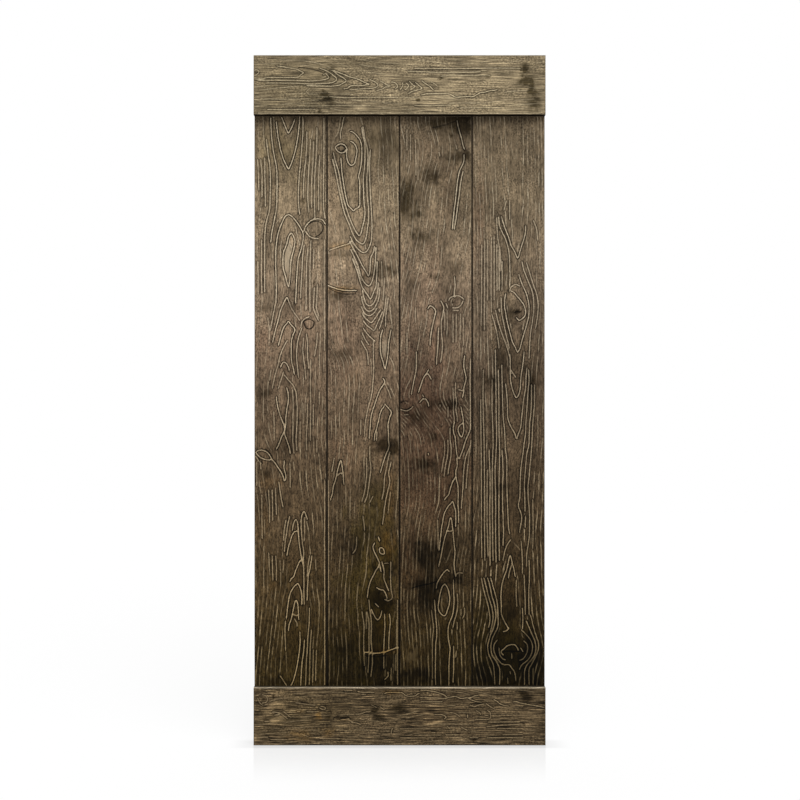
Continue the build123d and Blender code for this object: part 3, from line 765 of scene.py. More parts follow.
# %% Patches of plank 1
patches = {}
patches["plank_1"] = {
    "dark": [
        (303,201, 3,4, 0.8), (265,308, 10,3, 0.6), (294,306, 5,4, 0.6), (293,357, 3,5, 0.5),
        (267,391, 5,3, 0.8), (263,395.5, 8,3, 0.5), (306,390, 6,4, 0.5), (283,447, 17,7, 0.5),
        (312,440, 4,4, 0.5), (266,474, 6,5, 0.7), (266,577, 4,6, 0.4), (283,579, 6,5, 0.6),
        (274,680, 11,5, 0.7), (314.3,283, 1.2,2, 1.2), (311,657, 8,10, 0.5), (323,300, 2,60, 0.3),
    ],
    "warm": [(270,482, 10,6, 0.6), (263,525, 8,20, 0.5), (275,585, 6,6, 0.5)],
    "pale": [
        (288,260, 5,24, 0.8), (288,258, 5,22, 0.7), (262,470, 6,10, 0.7), (300,340, 8,8, 0.4),
        (262,560, 6,10, 0.4),
    ],
    "hue": [(283,150, 30,25, 0.4), (262,345, 8,20, -0.6), (300,330, 20,30, -0.4), (300,630, 25,50, 0.4)],
    "ridged": [(305,200, 18,70, 0.5), (306,480, 16,80, 0.5), (280,640, 25,40, 0.4)],
}
print("dark patches of plank 1:", len(patches["plank_1"]["dark"]))

# %% Patches of plank 2
patches["plank_2"] = {
    "dark": [
        (336,155, 9,3, 0.5), (384,142, 13,24, 0.4), (366,178, 3,8, 0.5), (341,254, 11,3, 0.7),
        (385,270, 10,8, 0.8), (369,275, 5,4, 0.6), (355,308, 5,8, 0.4), (338,296, 10,5, 0.8),
        (362,280, 3,5, 0.6), (342,354, 12,5, 0.7), (378,365, 4,14, 0.4), (393,338, 4,10, 0.4),
        (386,446, 12,6, 1), (340,488, 5,11, 0.5), (357,548, 4,14, 0.6), (345,548, 8,7, 0.6),
        (368,533, 6,5, 0.6), (391,557, 7,5, 0.6), (391,571, 6,7, 0.9), (374,566, 2.5,6, 1),
        (377,599, 8,7, 1), (388,606, 8,6, 0.9), (345,645, 10,9, 0.6), (383,683, 8,4, 0.7),
        (345,670, 15,15, 0.4), (393,450, 8,8, 0.7), (376,630, 7,12, 0.6), (384,661, 10,8, 0.6),
        (372,668, 9,10, 0.6), (370,589, 6,8, 0.5), (385,142, 15,22, 0.25),
    ],
    "warm": [
        (343,270, 14,14, 0.2), (341,289, 15,3, 0.9), (341,246, 12,3, 0.7), (355,378, 6,12, 0.3),
        (388,500, 8,30, 0.7), (388,548, 8,11, 1), (385,620, 10,25, 0.6), (382,651, 17,2.5, 1.3),
    ],
    "pale": [
        (384.5,348, 3,15, 1.3), (379.5,567, 3,5, 1), (343,268, 12,12, 0.9), (345,335, 14,25, 0.4),
        (355,395, 12,25, 0.4), (335,525, 8,25, 0.4), (333,652, 6,12, 0.8),
    ],
    "hue": [
        (365,140, 28,22, 0.25), (375,520, 22,40, 0.9), (370,590, 24,30, 1.1), (360,650, 34,34, 0.8),
        (345,330, 18,40, -0.5), (333,200, 6,60, -0.4), (343,455, 12,26, -0.5),
    ],
    "ridged": [(380,300, 14,60, 0.6), (345,420, 14,50, 0.5), (380,640, 14,40, 0.7)],
}
print("dark patches of plank 2:", len(patches["plank_2"]["dark"]))

# %% Patches of plank 3
patches["plank_3"] = {
    "dark": [
        (462,127, 8,10, 0.9), (432,175, 10,8, 1), (407,198, 8,14, 0.8), (419,214, 2,3, 1.2),
        (420,237, 9,7, 0.9), (458,157, 9,6, 0.9), (467,155, 3,7, 0.6), (455,267, 9,6, 0.6),
        (430.5,276, 1.2,2, 1.2), (437,277, 2.5,2.5, 0.9), (412,284, 5,7, 0.6), (453,302.3, 1.8,0.8, 1.3),
        (445,291, 5,7, 0.4), (452,404, 9,3.5, 1), (413,420, 6,8, 0.5), (433,437, 6,5, 0.6),
        (423,463, 9,5, 0.8), (425,545, 11,5, 0.8), (420,556, 6,6, 0.8), (432,561, 5,9, 0.9),
        (447,548, 5,9, 0.7), (424,585, 13,3, 1.2), (456,577, 6,3, 0.9), (430,602, 8,9, 0.8),
        (418,671, 8,3, 1), (443,662, 6,3, 0.5), (428,670, 4,9, 0.4), (450,124, 22,8, 1.0),
        (406,202, 8,20, 0.6), (418,412, 14,12, 0.6), (444,402, 12,7, 0.5), (427,467, 10,7, 0.6),
        (431,436, 9,7, 0.4), (428,558, 9,10, 0.8), (429,587, 8,9, 1.6), (428,561, 7,8, 0.6),
        (428,600, 6,14, 0.7), (455,581, 12,4, 0.8), (411,676, 11,6, 0.9), (439,676, 10,6, 0.8),
    ],
    "warm": [(430,655, 14,20, 0.3)],
    "pale": [
        (417,505, 18,25, 0.25), (410,515, 12,20, 0.5), (412,570, 8,8, 0.7), (412,655, 10,12, 0.9),
        (452,632, 15,20, 0.5),
    ],
    "hue": [
        (430,165, 30,40, -0.4), (430,300, 30,60, -0.5), (420,395, 22,35, -0.9), (430,455, 30,40, -1),
        (430,510, 30,25, -0.7), (412,575, 14,35, -0.8), (448,640, 25,40, 0.6),
    ],
    "ridged": [(450,480, 16,80, 0.6), (450,640, 20,40, 0.8), (420,130, 14,14, 0.4)],
}
print("dark patches of plank 3:", len(patches["plank_3"]["dark"]))

# %% Patches of plank 4
patches["plank_4"] = {
    "dark": [
        (507,169, 1,3, 0.8), (487,192, 5,8, 0.3), (517,311.5, 3,2, 1.3), (510,313, 5,4, 0.6),
        (501,359, 6,9, 0.6), (489,379, 6,5, 0.9), (478,377, 4,4, 0.4), (533,379, 5,11, 0.6),
        (502,488, 5,4, 0.9), (491,491, 3,4, 0.7), (527,485, 3,4, 0.7), (534,498, 3,4, 0.6),
        (524,513, 4,4, 0.5), (512,614, 8,8, 0.7), (511,650, 11,10, 0.7), (481,675, 7,10, 0.6),
        (510,675, 10,9, 0.6), (532,662, 9,22, 1.5), (493,635, 6,14, 0.8), (495,667, 8,12, 0.7),
        (480,675, 8,8, 0.5), (533,320, 5,10, 0.4), (533,390, 5,22, 0.4),
    ],
    "warm": [(512,590, 8,14, 0.4)],
    "pale": [
        (512.5,299, 2.5,9, 0.8), (507,598, 8,10, 0.7), (520,620, 8,16, 0.5), (505,415, 10,20, 0.4),
        (480,560, 8,12, 0.3),
    ],
    "hue": [(505,340, 30,80, 0.3), (500,650, 35,40, 1), (478,210, 7,50, -0.6), (480,290, 8,60, -0.4)],
    "ridged": [(490,300, 14,80, 0.6), (505,470, 34,90, 0.9), (505,610, 38,90, 1.2), (530,200, 12,60, 0.5)],
}
print("dark patches of plank 4:", len(patches["plank_4"]["dark"]))

# %% Patches of top rail
patches["top_rail"] = {
    "dark": [
        (324,92, 3,2, 1), (325,95.5, 4,1.5, 1.2), (327,98.5, 3,1, 1.3), (325,100.5, 6,0.8, 1.2),
        (315,101, 14,6, 0.5), (331,105, 4,7, 0.6), (319.5,111.3, 1.5,1.2, 1.5), (322,113, 3,1, 0.8),
        (332,67, 5,4, 0.6), (352,62, 12,5, 0.3), (321,74, 4,3, 0.4), (329.5,76.5, 1.5,1.2, 1),
        (441,78.5, 3,1.5, 1), (488,77, 2,2, 0.8), (525,67, 3,4, 1), (524,73, 3,4, 0.7), (527,81, 5,3, 0.8),
        (531.5,80.5, 1,0.8, 1.2), (532,85, 2,3, 0.9), (531,88.5, 1.5,1, 1.3), (529.5,92, 2,1.5, 1.1),
        (534,92, 3,3, 0.7), (537,98.5, 2,1.5, 0.8), (534,103, 6,7, 0.6), (520,82, 4,5, 0.5),
        (418,100.3, 2,1.5, 1.2), (503,106, 2,1, 0.6), (531,85, 10,30, 0.35),
    ],
    "warm": [(290,85, 30,20, 0.15)],
    "pale": [(356,82, 5,3, 0.8), (475,85, 45,25, 0.4), (455,99, 30,4, 0.4), (440,97, 18,3, 0.5)],
    "hue": [(300,85, 50,25, 0.2)],
    "ridged": [(330,90, 60,20, 0.4)],
}
print("dark patches of top rail:", len(patches["top_rail"]["dark"]))

# %% Patches of bottom rail
patches["bottom_rail"] = {
    "dark": [
        (263.9,699.1, 1.2,1.2, 1.3), (273.7,696.8, 1,2.5, 1.1), (325.7,706.4, 1.5,1, 1),
        (330.3,711, 2,1, 0.8), (327.5,716.8, 4,5, 0.8), (374.8,711.4, 3.5,4.5, 1.3), (380,717, 4,2, 1.4),
        (395,710, 6,5, 0.7), (345,706, 12,4, 0.5), (524.5,692.3, 4,2, 1), (525.4,696, 5,3, 1.1),
        (528,699.5, 4,2, 0.8), (402,708, 4,5, 0.7), (523.5,724, 1.5,1, 0.8), (474,740.2, 2.5,1.5, 1.4),
        (512.3,739.7, 0.8,0.8, 1), (460,709, 40,3, 0.3), (544,715, 2,25, 0.6),
    ],
    "warm": [
        (318.5,716, 3,4, 1.2), (328.5,732.3, 6,5, 0.8), (301,734.5, 10,6, 0.8), (300,711.5, 4,1.2, 0.8),
        (345,719, 5,1.5, 0.8), (393,692, 8,2, 1), (435,720, 20,20, 0.3),
    ],
    "pale": [
        (276,712.5, 5,1.2, 0.8), (290,715, 20,6, 0.3), (502,714.3, 1.5,0.8, 1.3), (495.5,700, 1.5,1, 1),
        (487,703.5, 1.5,1, 0.9),
    ],
    "hue": [(300,715, 50,25, 0.3)],
    "ridged": [(400,715, 160,30, 0.2)],
}
print("dark patches of bottom rail:", len(patches["bottom_rail"]["dark"]))

# %% [markdown]
# ## From squares to millimetres
#
# The rails stand 19 mm in front of the planks, so they look a little larger, and a square counts
# for fewer millimetres on them. These helpers turn the drawing's columns and rows into places
# along and across a board, which is what all fields are worked out in.

# %% Places on a board


def on_board(name, column, row):
    """A place on the squared drawing, in millimetres along the grain and across it."""
    if name in PLANKS:
        middle = PLANK_COLUMN + (PLANKS.index(name) - 1.5) * plank_cover / PLANK_SQUARE
        return (row - PLANK_ROW) * PLANK_SQUARE, (column - middle) * PLANK_SQUARE
    return (column - RAIL_COLUMN) * RAIL_SQUARE, (RAIL_ROW[name] - row) * RAIL_SQUARE


def placed_lines(name, strokes):
    """Drawn strokes as (strength, points), with the points in millimetres."""
    placed = []
    for strength, *numbers in strokes:
        points = zip(numbers[::2], numbers[1::2])
        placed.append((strength, [on_board(name, column, row) for column, row in points]))
    return placed


def placed_patches(name, kind):
    """A board's patches of one kind, with place and size in millimetres."""
    placed = []
    for column, row, half_width, half_height, strength in patches[name][kind]:
        along, across = on_board(name, column, row)
        sizes = (half_height * PLANK_SQUARE, half_width * PLANK_SQUARE)
        half_length, half_width = sizes if name in PLANKS else sizes[::-1]
        placed.append((along, across, half_length, half_width, strength))
    return placed


print("first point drawn on plank 1:", placed_lines("plank_1", drawn["plank_1"])[0][1][0])

# %% [markdown]
# ## How light each board is
#
# No two boards take stain alike. The shader could give each board one random tone, but a board
# also changes from end to end. So each has a line of its own along the grain, in doublings of
# the stain's colour: 0 leaves the colour, and -1 halves it. The values were set by comparing
# mean tones.

# %% Tone along each board
tones = {
    "plank_1": [
        (0, 0.07), (475, 0.12), (662, 0.3), (849, 0.38), (1035, 0.05), (1222, 0.05), (1596, 0.35),
        (2134, 0.5),
    ],
    "plank_2": [
        (0, -0.1), (288, -0.02), (475, 0.3), (849, 0.12), (1035, 0.33), (1222, 0.18), (1409, -0.25),
        (1596, -0.1), (1752, -0.2), (1879, -0.6), (2134, -0.6),
    ],
    "plank_3": [
        (0, -0.3), (288, -0.3), (475, -0.15), (662, 0.05), (849, -0.15), (1035, -0.4), (1222, -0.45),
        (1409, -0.2), (1596, -0.5), (1752, -0.25), (2134, -0.35),
    ],
    "plank_4": [
        (0, -0.2), (662, -0.25), (849, -0.45), (1035, -0.75), (1222, -0.35), (1409, -0.25), (1752, -0.45),
        (1879, -1.1), (2134, -1.1),
    ],
    "top_rail": [(0, -0.08), (220, -0.08), (375, 0.08), (530, 0.2), (685, 0.32), (830, 0.2), (903, 0.1)],
    "bottom_rail": [(0, 0.0), (220, -0.12), (400, -0.12), (600, -0.02), (903, -0.05)],
}
print("tone at the far end of each board:", {name: line[-1][1] for name, line in tones.items()})

# %% [markdown]
# ## Fields on the board's surface
#
# The mesh stores smooth fields, not finished lines. A crisp ridge, 3 mm wide, would blur between
# vertices that are 2 mm apart, but a field that climbs steadily does not. The shader then finds
# the whole numbers in it. `spread` says how fast the field climbs, so that a ridge keeps its
# width in millimetres where the rings lie far apart. A drawn line is stored as the distance to
# it, with a sign for its side, so that it too can be crisp between two vertices. Where two lines
# lie close the sign flips halfway, which would look like a third line, so `off_line` keeps the
# plain distance as well.

# %% Distance to a drawn line
LINE_REACH = 9.0  # a line is felt this many millimetres away


def rounded(points):
    """A denser run of points on a smooth curve through the given ones."""
    points = np.array(points, dtype=float)
    ends = np.vstack([2 * points[0] - points[1], points, 2 * points[-1] - points[-2]])
    curve = []
    for a, b, c, d in zip(ends[:-3], ends[1:-2], ends[2:-1], ends[3:]):
        for t in (0, 0.25, 0.5, 0.75):
            curve.append(b + 0.5 * t * (c - a + t * (2 * a - 5 * b + 4 * c - d + t * (3 * (b - c) + d - a))))
    return np.array(curve + [points[-1]])


def nearest_line(along, across, lines):
    """Signed distance in millimetres from the nearest drawn line, and how strong that line is."""
    best = np.full(along.shape, LINE_REACH)
    side = np.ones(along.shape)
    strong = np.zeros(along.shape)
    for strength, points in lines:
        curve = rounded(points)
        low, high = curve.min(axis=0) - LINE_REACH, curve.max(axis=0) + LINE_REACH
        inside = (along > low[0]) & (along < high[0]) & (across > low[1]) & (across < high[1])
        near = np.flatnonzero(inside)
        u, v = along[near], across[near]
        for start, end in zip(curve[:-1], curve[1:]):
            run, rise = end - start
            length = run * run + rise * rise + 1e-9
            t = np.clip(((u - start[0]) * run + (v - start[1]) * rise) / length, 0, 1)
            du, dv = u - start[0] - t * run, v - start[1] - t * rise
            apart = np.hypot(du, dv)
            closer = apart < best[near]
            changed = near[closer]
            best[changed] = apart[closer]
            side[changed] = np.where(run * dv[closer] - rise * du[closer] < 0, -1, 1)
            strong[changed] = strength
    return best * side, strong * (1 - eased((best - 4.5) / 3.5))


sample = nearest_line(np.array([5.0, 5.0]), np.array([-2.0, 3.0]), [(1.0, [(0, 0), (10, 0)])])
print("distances from a straight stroke:", sample[0])

# %% All fields of one board
FIELD_NAMES = [
    "rings", "spread", "line", "off_line", "line_strength", "crack", "crack_strength",
    "dark", "warm", "pale", "hue", "ridged", "tone",
]


def slope_of(field, rows, columns, row_step, column_step):
    """How fast a field changes, in rings per millimetre, on a grid with even steps."""
    grid = field.reshape(rows, columns)
    d_row, d_column = np.gradient(grid, row_step, column_step)
    return np.hypot(d_row, d_column).ravel()


def surface_fields(name, along, across, rows, columns, row_step, column_step):
    """Every field of one board, at the vertices of its sheet."""
    board = grain[name]
    seed = 1000 * (1 + (PLANKS + RAILS).index(name))
    bent = past_knots(along, across, board["knots"])
    rings = flame_field(along, bent, board, seed)
    fields = {"rings": rings, "spread": slope_of(rings, rows, columns, row_step, column_step)}
    fields["line"], fields["line_strength"] = nearest_line(along, across, placed_lines(name, drawn[name]))
    fields["off_line"] = np.abs(fields["line"])
    crack, fields["crack_strength"] = nearest_line(along, across, placed_lines(name, cracks[name]))
    fields["crack"] = np.abs(crack)
    for number, kind in enumerate(("dark", "warm", "pale", "hue", "ridged")):
        fields[kind] = blotches(along, across, placed_patches(name, kind), seed + 100 * (number + 1))
    fields["tone"] = through(tones[name], along)
    return fields


print("fields that each vertex of a front stores:", len(FIELD_NAMES))

# %% [markdown]
# ## The boards as meshes
#
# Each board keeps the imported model's sides, back, tongue, groove and screw holes. Only the part
# of its front that shows is cut out and a fine sheet is set in, whose vertices sink between the
# ridges. A displacement modifier on the whole board would be shorter, but it would move the
# joints and ends as well. The sheet's border lies in the old face, and thin faces join it to the
# rim of the cut, so the board stays one closed body.

# %% Window and places on a board
RIM = 2.2  # the sheet starts this far inside the board's outline


def front_window(name):
    """Left, right, low and high of the part of a board's front that is made afresh, and its depth."""
    if name in PLANKS:
        index = PLANKS.index(name)
        left = door_left + index * plank_cover + RIM
        return left, left + plank_cover - 2 * RIM, foot_high[2] + 0.5, rail_low[2] - 0.5, plank_front
    low, high = (np.array(corner) / MM for corner in box[name])
    return low[0] + RIM, high[0] - RIM, low[2] + RIM, high[2] - RIM, low[1]


def board_place(name, x, z):
    """A place on a board's front, as the distance along the grain and across it."""
    if name in PLANKS:
        middle = door_left + (PLANKS.index(name) + 0.5) * plank_cover
        return door_top - z, x - middle
    low, high = (np.array(corner) / MM for corner in box[name])
    return x - low[0], z - (low[2] + high[2]) / 2


print("window of plank 1:", front_window("plank_1"))

# %% Front sheet
GRID_ACROSS = 1.9
GRID_ALONG = 3.7
HOLLOW = 0.45  # how deep the brush has worn the wood between two ridges
SEAM = 0.4  # width of the thin faces round the sheet
FLAT_RIM = 4.0  # the relief fades out over this distance from the sheet's border
RING_HALF, LINE_HALF = 1.9, 2.0  # how far from its crest a ring, and a drawn line, falls off


def ridge_height(field, spread):
    """1 on a ring's ridge, falling to 0 about 3 mm beside it."""
    apart = np.abs(field - np.round(field)) / np.maximum(spread, 0.004)
    return np.exp(-((apart / RING_HALF) ** 2))


def front_sheet(name):
    """Vertices (in millimetres), size and fields of the relief sheet of one board."""
    left, right, low, high, depth = front_window(name)
    left, right, low, high = left + SEAM, right - SEAM, low + SEAM, high - SEAM
    step_x, step_z = (GRID_ACROSS, GRID_ALONG) if name in PLANKS else (GRID_ALONG, GRID_ACROSS)
    columns = int(round((right - left) / step_x)) + 1
    rows = int(round((high - low) / step_z)) + 1
    z, x = np.meshgrid(np.linspace(low, high, rows), np.linspace(left, right, columns), indexing="ij")
    x, z = x.ravel(), z.ravel()
    along, across = board_place(name, x, z)
    step_x, step_z = (right - left) / (columns - 1), (high - low) / (rows - 1)
    fields = surface_fields(name, along, across, rows, columns, step_z, step_x)
    ridge = 0.7 * ridge_height(fields["rings"], fields["spread"])
    clear = 1 - np.minimum(fields["line_strength"] * 1.5, 1)
    line = fields["line_strength"] * np.exp(-((fields["line"] / LINE_HALF) ** 2))
    ridge = np.maximum(ridge * clear, line)
    ridge = ridge - 0.6 * fields["crack_strength"] * np.exp(-((fields["crack"] / LINE_HALF) ** 2))
    from_border = np.minimum.reduce([x - left, right - x, z - low, high - z])
    worn = HOLLOW * np.clip(1 - ridge, 0, 1.6) * eased(from_border / FLAT_RIM)
    points = np.stack([x, depth + worn, z], axis=1)
    return points, rows, columns, fields


print(f"a sheet has a vertex every {GRID_ACROSS} mm across the grain and {GRID_ALONG} mm along it")

# %% [markdown]
# ## Cutting the old face out
#
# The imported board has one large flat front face, and a plank's is cut up further by the rails'
# edges. Four cuts along the window's sides make sure that the face ends exactly there. What lies
# inside is then deleted, and the loop of vertices round the hole is what the sheet is sewn to.

# %% Cut the old face out of a copy of the board


def on_front(face, depth):
    """Whether a face lies in a board's front plane."""
    return face.normal.y < -0.99 and abs(face.calc_center_median().y - depth) < 1e-5


def board_copy(name):
    """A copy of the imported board's mesh, cut along the window's outline and opened there."""
    left, right, low, high, depth = (value * MM for value in front_window(name))
    shape = bmesh.new()
    shape.from_mesh(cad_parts[name].data)
    bmesh.ops.transform(shape, matrix=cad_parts[name].matrix_world, verts=shape.verts)
    bmesh.ops.remove_doubles(shape, verts=shape.verts, dist=1e-6)
    across, upward = (1, 0, 0), (0, 0, 1)
    cuts = [((left, 0, 0), across), ((right, 0, 0), across), ((0, 0, low), upward), ((0, 0, high), upward)]
    for place, direction in cuts:
        front = [face for face in shape.faces if on_front(face, depth)]
        edges = {edge for face in front for edge in face.edges}
        verts = {vert for face in front for vert in face.verts}
        bmesh.ops.bisect_plane(
            shape, geom=list(verts) + list(edges) + front, dist=1e-7, plane_co=place, plane_no=direction
        )
    opened = []
    for face in shape.faces:
        middle = face.calc_center_median()
        if on_front(face, depth) and left < middle.x < right and low < middle.z < high:
            opened.append(face)
    bmesh.ops.delete(shape, geom=opened, context="FACES")
    return shape, (left, right, low, high, depth)


def rim_loop(shape, window):
    """The vertices round the cut, one list for each side, each in order from its start corner."""
    left, right, low, high, depth = window
    near = 1e-5
    rim = [vert for vert in shape.verts if abs(vert.co.y - depth) < near]
    inside_x = [v for v in rim if left - near < v.co.x < right + near]
    inside_z = [v for v in rim if low - near < v.co.z < high + near]
    return {
        "low": sorted([v for v in inside_x if abs(v.co.z - low) < near], key=lambda v: v.co.x),
        "high": sorted([v for v in inside_x if abs(v.co.z - high) < near], key=lambda v: v.co.x),
        "left": sorted([v for v in inside_z if abs(v.co.x - left) < near], key=lambda v: v.co.z),
        "right": sorted([v for v in inside_z if abs(v.co.x - right) < near], key=lambda v: v.co.z),
    }


sample, sample_window = board_copy("top_rail")
sides = rim_loop(sample, sample_window).items()
print("vertices round the cut in the top rail:", {side: len(verts) for side, verts in sides})
sample.free()

# %% [markdown]
# ## Sewing the sheet in
#
# The sheet's vertices are added to the opened board, each with its fields as float attributes,
# which the shader reads by name. Along each side one long thin face joins the row of sheet
# vertices to the rim. The faces of the old shape get a wood by where they lie: the joint between
# two planks and a rail's underside get painted shade, and a rail's upper edge is paler, partly
# from wear and partly a painted highlight, with painted shade along its back.

# %% Sew the sheet into the board


def wood_index(name, face):
    """Which of a board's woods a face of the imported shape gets: side, joint or underside, ledge."""
    middle = face.calc_center_median() / MM
    if name in PLANKS:
        joints = [door_left + k * plank_cover for k in range(1, len(PLANKS))]
        in_joint = min(abs(middle.x - joint) for joint in joints) < 2.3
        return 2 if middle.y < plank_front + 6 and in_joint else 1
    if face.normal.z < -0.6:
        return 2
    return 3 if face.normal.z > 0.3 else 1


def sewn_sheet(shape, window, points, rows, columns):
    """Adds the sheet's vertices and faces, and the thin faces that join it to the rim."""
    sheet = [shape.verts.new(point) for point in points * MM]
    for row in range(rows - 1):
        start = row * columns
        for k in range(start, start + columns - 1):
            shape.faces.new((sheet[k], sheet[k + 1], sheet[k + columns + 1], sheet[k + columns]))
    rim = rim_loop(shape, window)
    last = (rows - 1) * columns
    borders = {
        "low": sheet[:columns],
        "high": sheet[last:],
        "left": sheet[::columns],
        "right": sheet[columns - 1 :: columns],
    }
    for side, border in borders.items():
        face = shape.faces.new(rim[side] + border[::-1])
        face.normal_update()
        if face.normal.y > 0:
            face.normal_flip()
        face.material_index = 1
    return sheet


def finished_board(name, woods):
    """The board with its relief sheet set in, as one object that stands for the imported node."""
    shape, window = board_copy(name)
    points, rows, columns, fields = front_sheet(name)
    layers = {key: shape.verts.layers.float.new(key) for key in FIELD_NAMES}
    for face in shape.faces:
        face.material_index = wood_index(name, face)
    sheet = sewn_sheet(shape, window, points, rows, columns)
    for key, layer in layers.items():
        for vert, value in zip(sheet, fields[key].tolist()):
            vert[layer] = value
    mesh = bpy.data.meshes.new(name + "_wood")
    shape.to_mesh(mesh)
    shape.free()
    for wood in woods:
        mesh.materials.append(wood)
    made = bpy.data.objects.new(name + "_wood", mesh)
    bpy.context.scene.collection.objects.link(made)
    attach(made, "root")
    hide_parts(name)
    print(f"{made.name}: {len(mesh.vertices)} vertices, {len(mesh.polygons)} faces")
    return made


print("boards to be made, once their woods are mixed:", ", ".join(PLANKS + RAILS))

# %% [markdown]
# ## Writing shader sums as Python
#
# A material is a graph of nodes. Written as it is wired, even `1 - mask` takes four lines, so
# this small class wraps a socket and lets Python's operators add the Math nodes.

# %% Sockets that can be added and multiplied


class Signal:
    """A number that runs through a material's nodes."""

    def __init__(self, paint, socket):
        self.paint, self.socket = paint, socket

    def __add__(self, other):
        return self.paint.math("ADD", self, other)

    def __radd__(self, other):
        return self.paint.math("ADD", other, self)

    def __sub__(self, other):
        return self.paint.math("SUBTRACT", self, other)

    def __rsub__(self, other):
        return self.paint.math("SUBTRACT", other, self)

    def __mul__(self, other):
        return self.paint.math("MULTIPLY", self, other)

    def __rmul__(self, other):
        return self.paint.math("MULTIPLY", other, self)

    def __truediv__(self, other):
        return self.paint.math("DIVIDE", self, other)

    def __rtruediv__(self, other):
        return self.paint.math("DIVIDE", other, self)

    def __abs__(self):
        return self.paint.math("ABSOLUTE", self)


print("operators that add a node: + - * / and abs")

# %% [markdown]
# ## A material under construction
#
# One method adds any node from its type, its settings and its sockets. The few that the woods
# use again and again, such as a noise or an eased step, have a short name of their own. Colours
# go through Mix and Vector Math, because a Math node would turn them grey.

# %% Paint


class Paint:
    """A material under construction."""

    def __init__(self, name):
        self.material = bpy.data.materials.new(name)
        self.material.use_nodes = True
        self.tree = self.material.node_tree
        self.tree.nodes.clear()

    def node(self, kind, settings=None, outlet=0, **sockets):
        """Adds any node: its type, its settings, and a value or a link for each named socket."""
        made = self.tree.nodes.new(kind)
        for key, value in (settings or {}).items():
            if key == "stops":
                self.set_stops(made.color_ramp, value)
            else:
                setattr(made, key, value)
        for key, value in sockets.items():
            name = key.replace("_", " ")
            fits = (s for s in made.inputs if s.identifier == key or (s.name == name and s.enabled))
            target = next(fits, None)
            if target is None:
                raise KeyError(f"{kind} has no socket {key}")
            if isinstance(value, Signal):
                self.tree.links.new(value.socket, target)
            else:
                target.default_value = value
        if isinstance(outlet, str):
            outlet = next(k for k, s in enumerate(made.outputs) if s.identifier == outlet)
        return Signal(self, made.outputs[outlet]) if made.outputs else made

    def set_stops(self, ramp, stops):
        """Gives a colour ramp its (place, colour) stops."""
        while len(ramp.elements) < len(stops):
            ramp.elements.new(1)
        for element, (place, color) in zip(ramp.elements, stops):
            element.position, element.color = place, (*color, 1)

    def math(self, operation, first, second=None):
        """Adds a Math node on one or two numbers."""
        made = self.tree.nodes.new("ShaderNodeMath")
        made.operation = operation
        for target, value in zip(made.inputs, (first, second)):
            if isinstance(value, Signal):
                self.tree.links.new(value.socket, target)
            elif value is not None:
                target.default_value = value
        return Signal(self, made.outputs[0])

    def field(self, name):
        """A field that is stored on the mesh."""
        return self.node("ShaderNodeAttribute", {"attribute_name": name}, outlet="Fac")

    def ramp(self, stops, at):
        """The colour at a place of a ramp, from 0 to 1."""
        return self.node("ShaderNodeValToRGB", {"stops": stops}, Fac=at)

    def step(self, value, low, high, start=0.0, end=1.0):
        """Eases from start to end while value runs from low to high."""
        return self.node(
            "ShaderNodeMapRange", {"interpolation_type": "SMOOTHSTEP"},
            Value=value, From_Min=low, From_Max=high, To_Min=start, To_Max=end,
        )

    def noise(self, place, scale=1.0, detail=2.0, roughness=0.5):
        """Soft noise, from about 0 to 1 round a mean of 0.5."""
        return self.node(
            "ShaderNodeTexNoise", {"noise_dimensions": "3D"},
            Vector=place, Scale=scale, Detail=detail, Roughness=roughness,
        )

    def place(self, x, y, z):
        """A place for a texture, from three numbers."""
        return self.node("ShaderNodeCombineXYZ", X=x, Y=y, Z=z)

    def mix(self, share, first, second):
        """Mixes two colours."""
        settings = {"data_type": "RGBA", "blend_type": "MIX", "clamp_factor": True}
        colors = {"A_Color": first, "B_Color": second}
        return self.node("ShaderNodeMix", settings, outlet="Result_Color", Factor_Float=share, **colors)

    def object_place(self):
        """The object's own x, y and z in millimetres."""
        spot = self.node("ShaderNodeTexCoord", outlet="Object")
        parts = self.node("ShaderNodeSeparateXYZ", Vector=spot).socket.node.outputs
        return [Signal(self, part) * 1000 for part in parts]

    def tinted(self, color, tint):
        """A colour times another, channel by channel."""
        return self.node("ShaderNodeVectorMath", {"operation": "MULTIPLY"}, Vector=color, Vector_001=tint)

    def scaled(self, color, by):
        """A colour times a number."""
        return self.node("ShaderNodeVectorMath", {"operation": "SCALE"}, Vector=color, Scale=by)

    def doubled(self, tone):
        """What a tone in doublings multiplies a colour by."""
        return self.math("POWER", 2.0, tone)

    def finish(self, **sockets):
        """Ends in a Principled shader with these sockets."""
        shader = self.node("ShaderNodeBsdfPrincipled", **sockets)
        self.node("ShaderNodeOutputMaterial", Surface=shader)
        return self.material


def srgb(red, green, blue):
    """A colour that is read off a screen, 0 to 255, as the linear numbers that a shader takes."""
    parts = [value / 255 for value in (red, green, blue)]
    return tuple(p / 12.92 if p <= 0.04045 else ((p + 0.055) / 1.055) ** 2.4 for p in parts)


print("a screen's middle grey is", round(srgb(128, 128, 128)[0], 3), "in linear numbers")
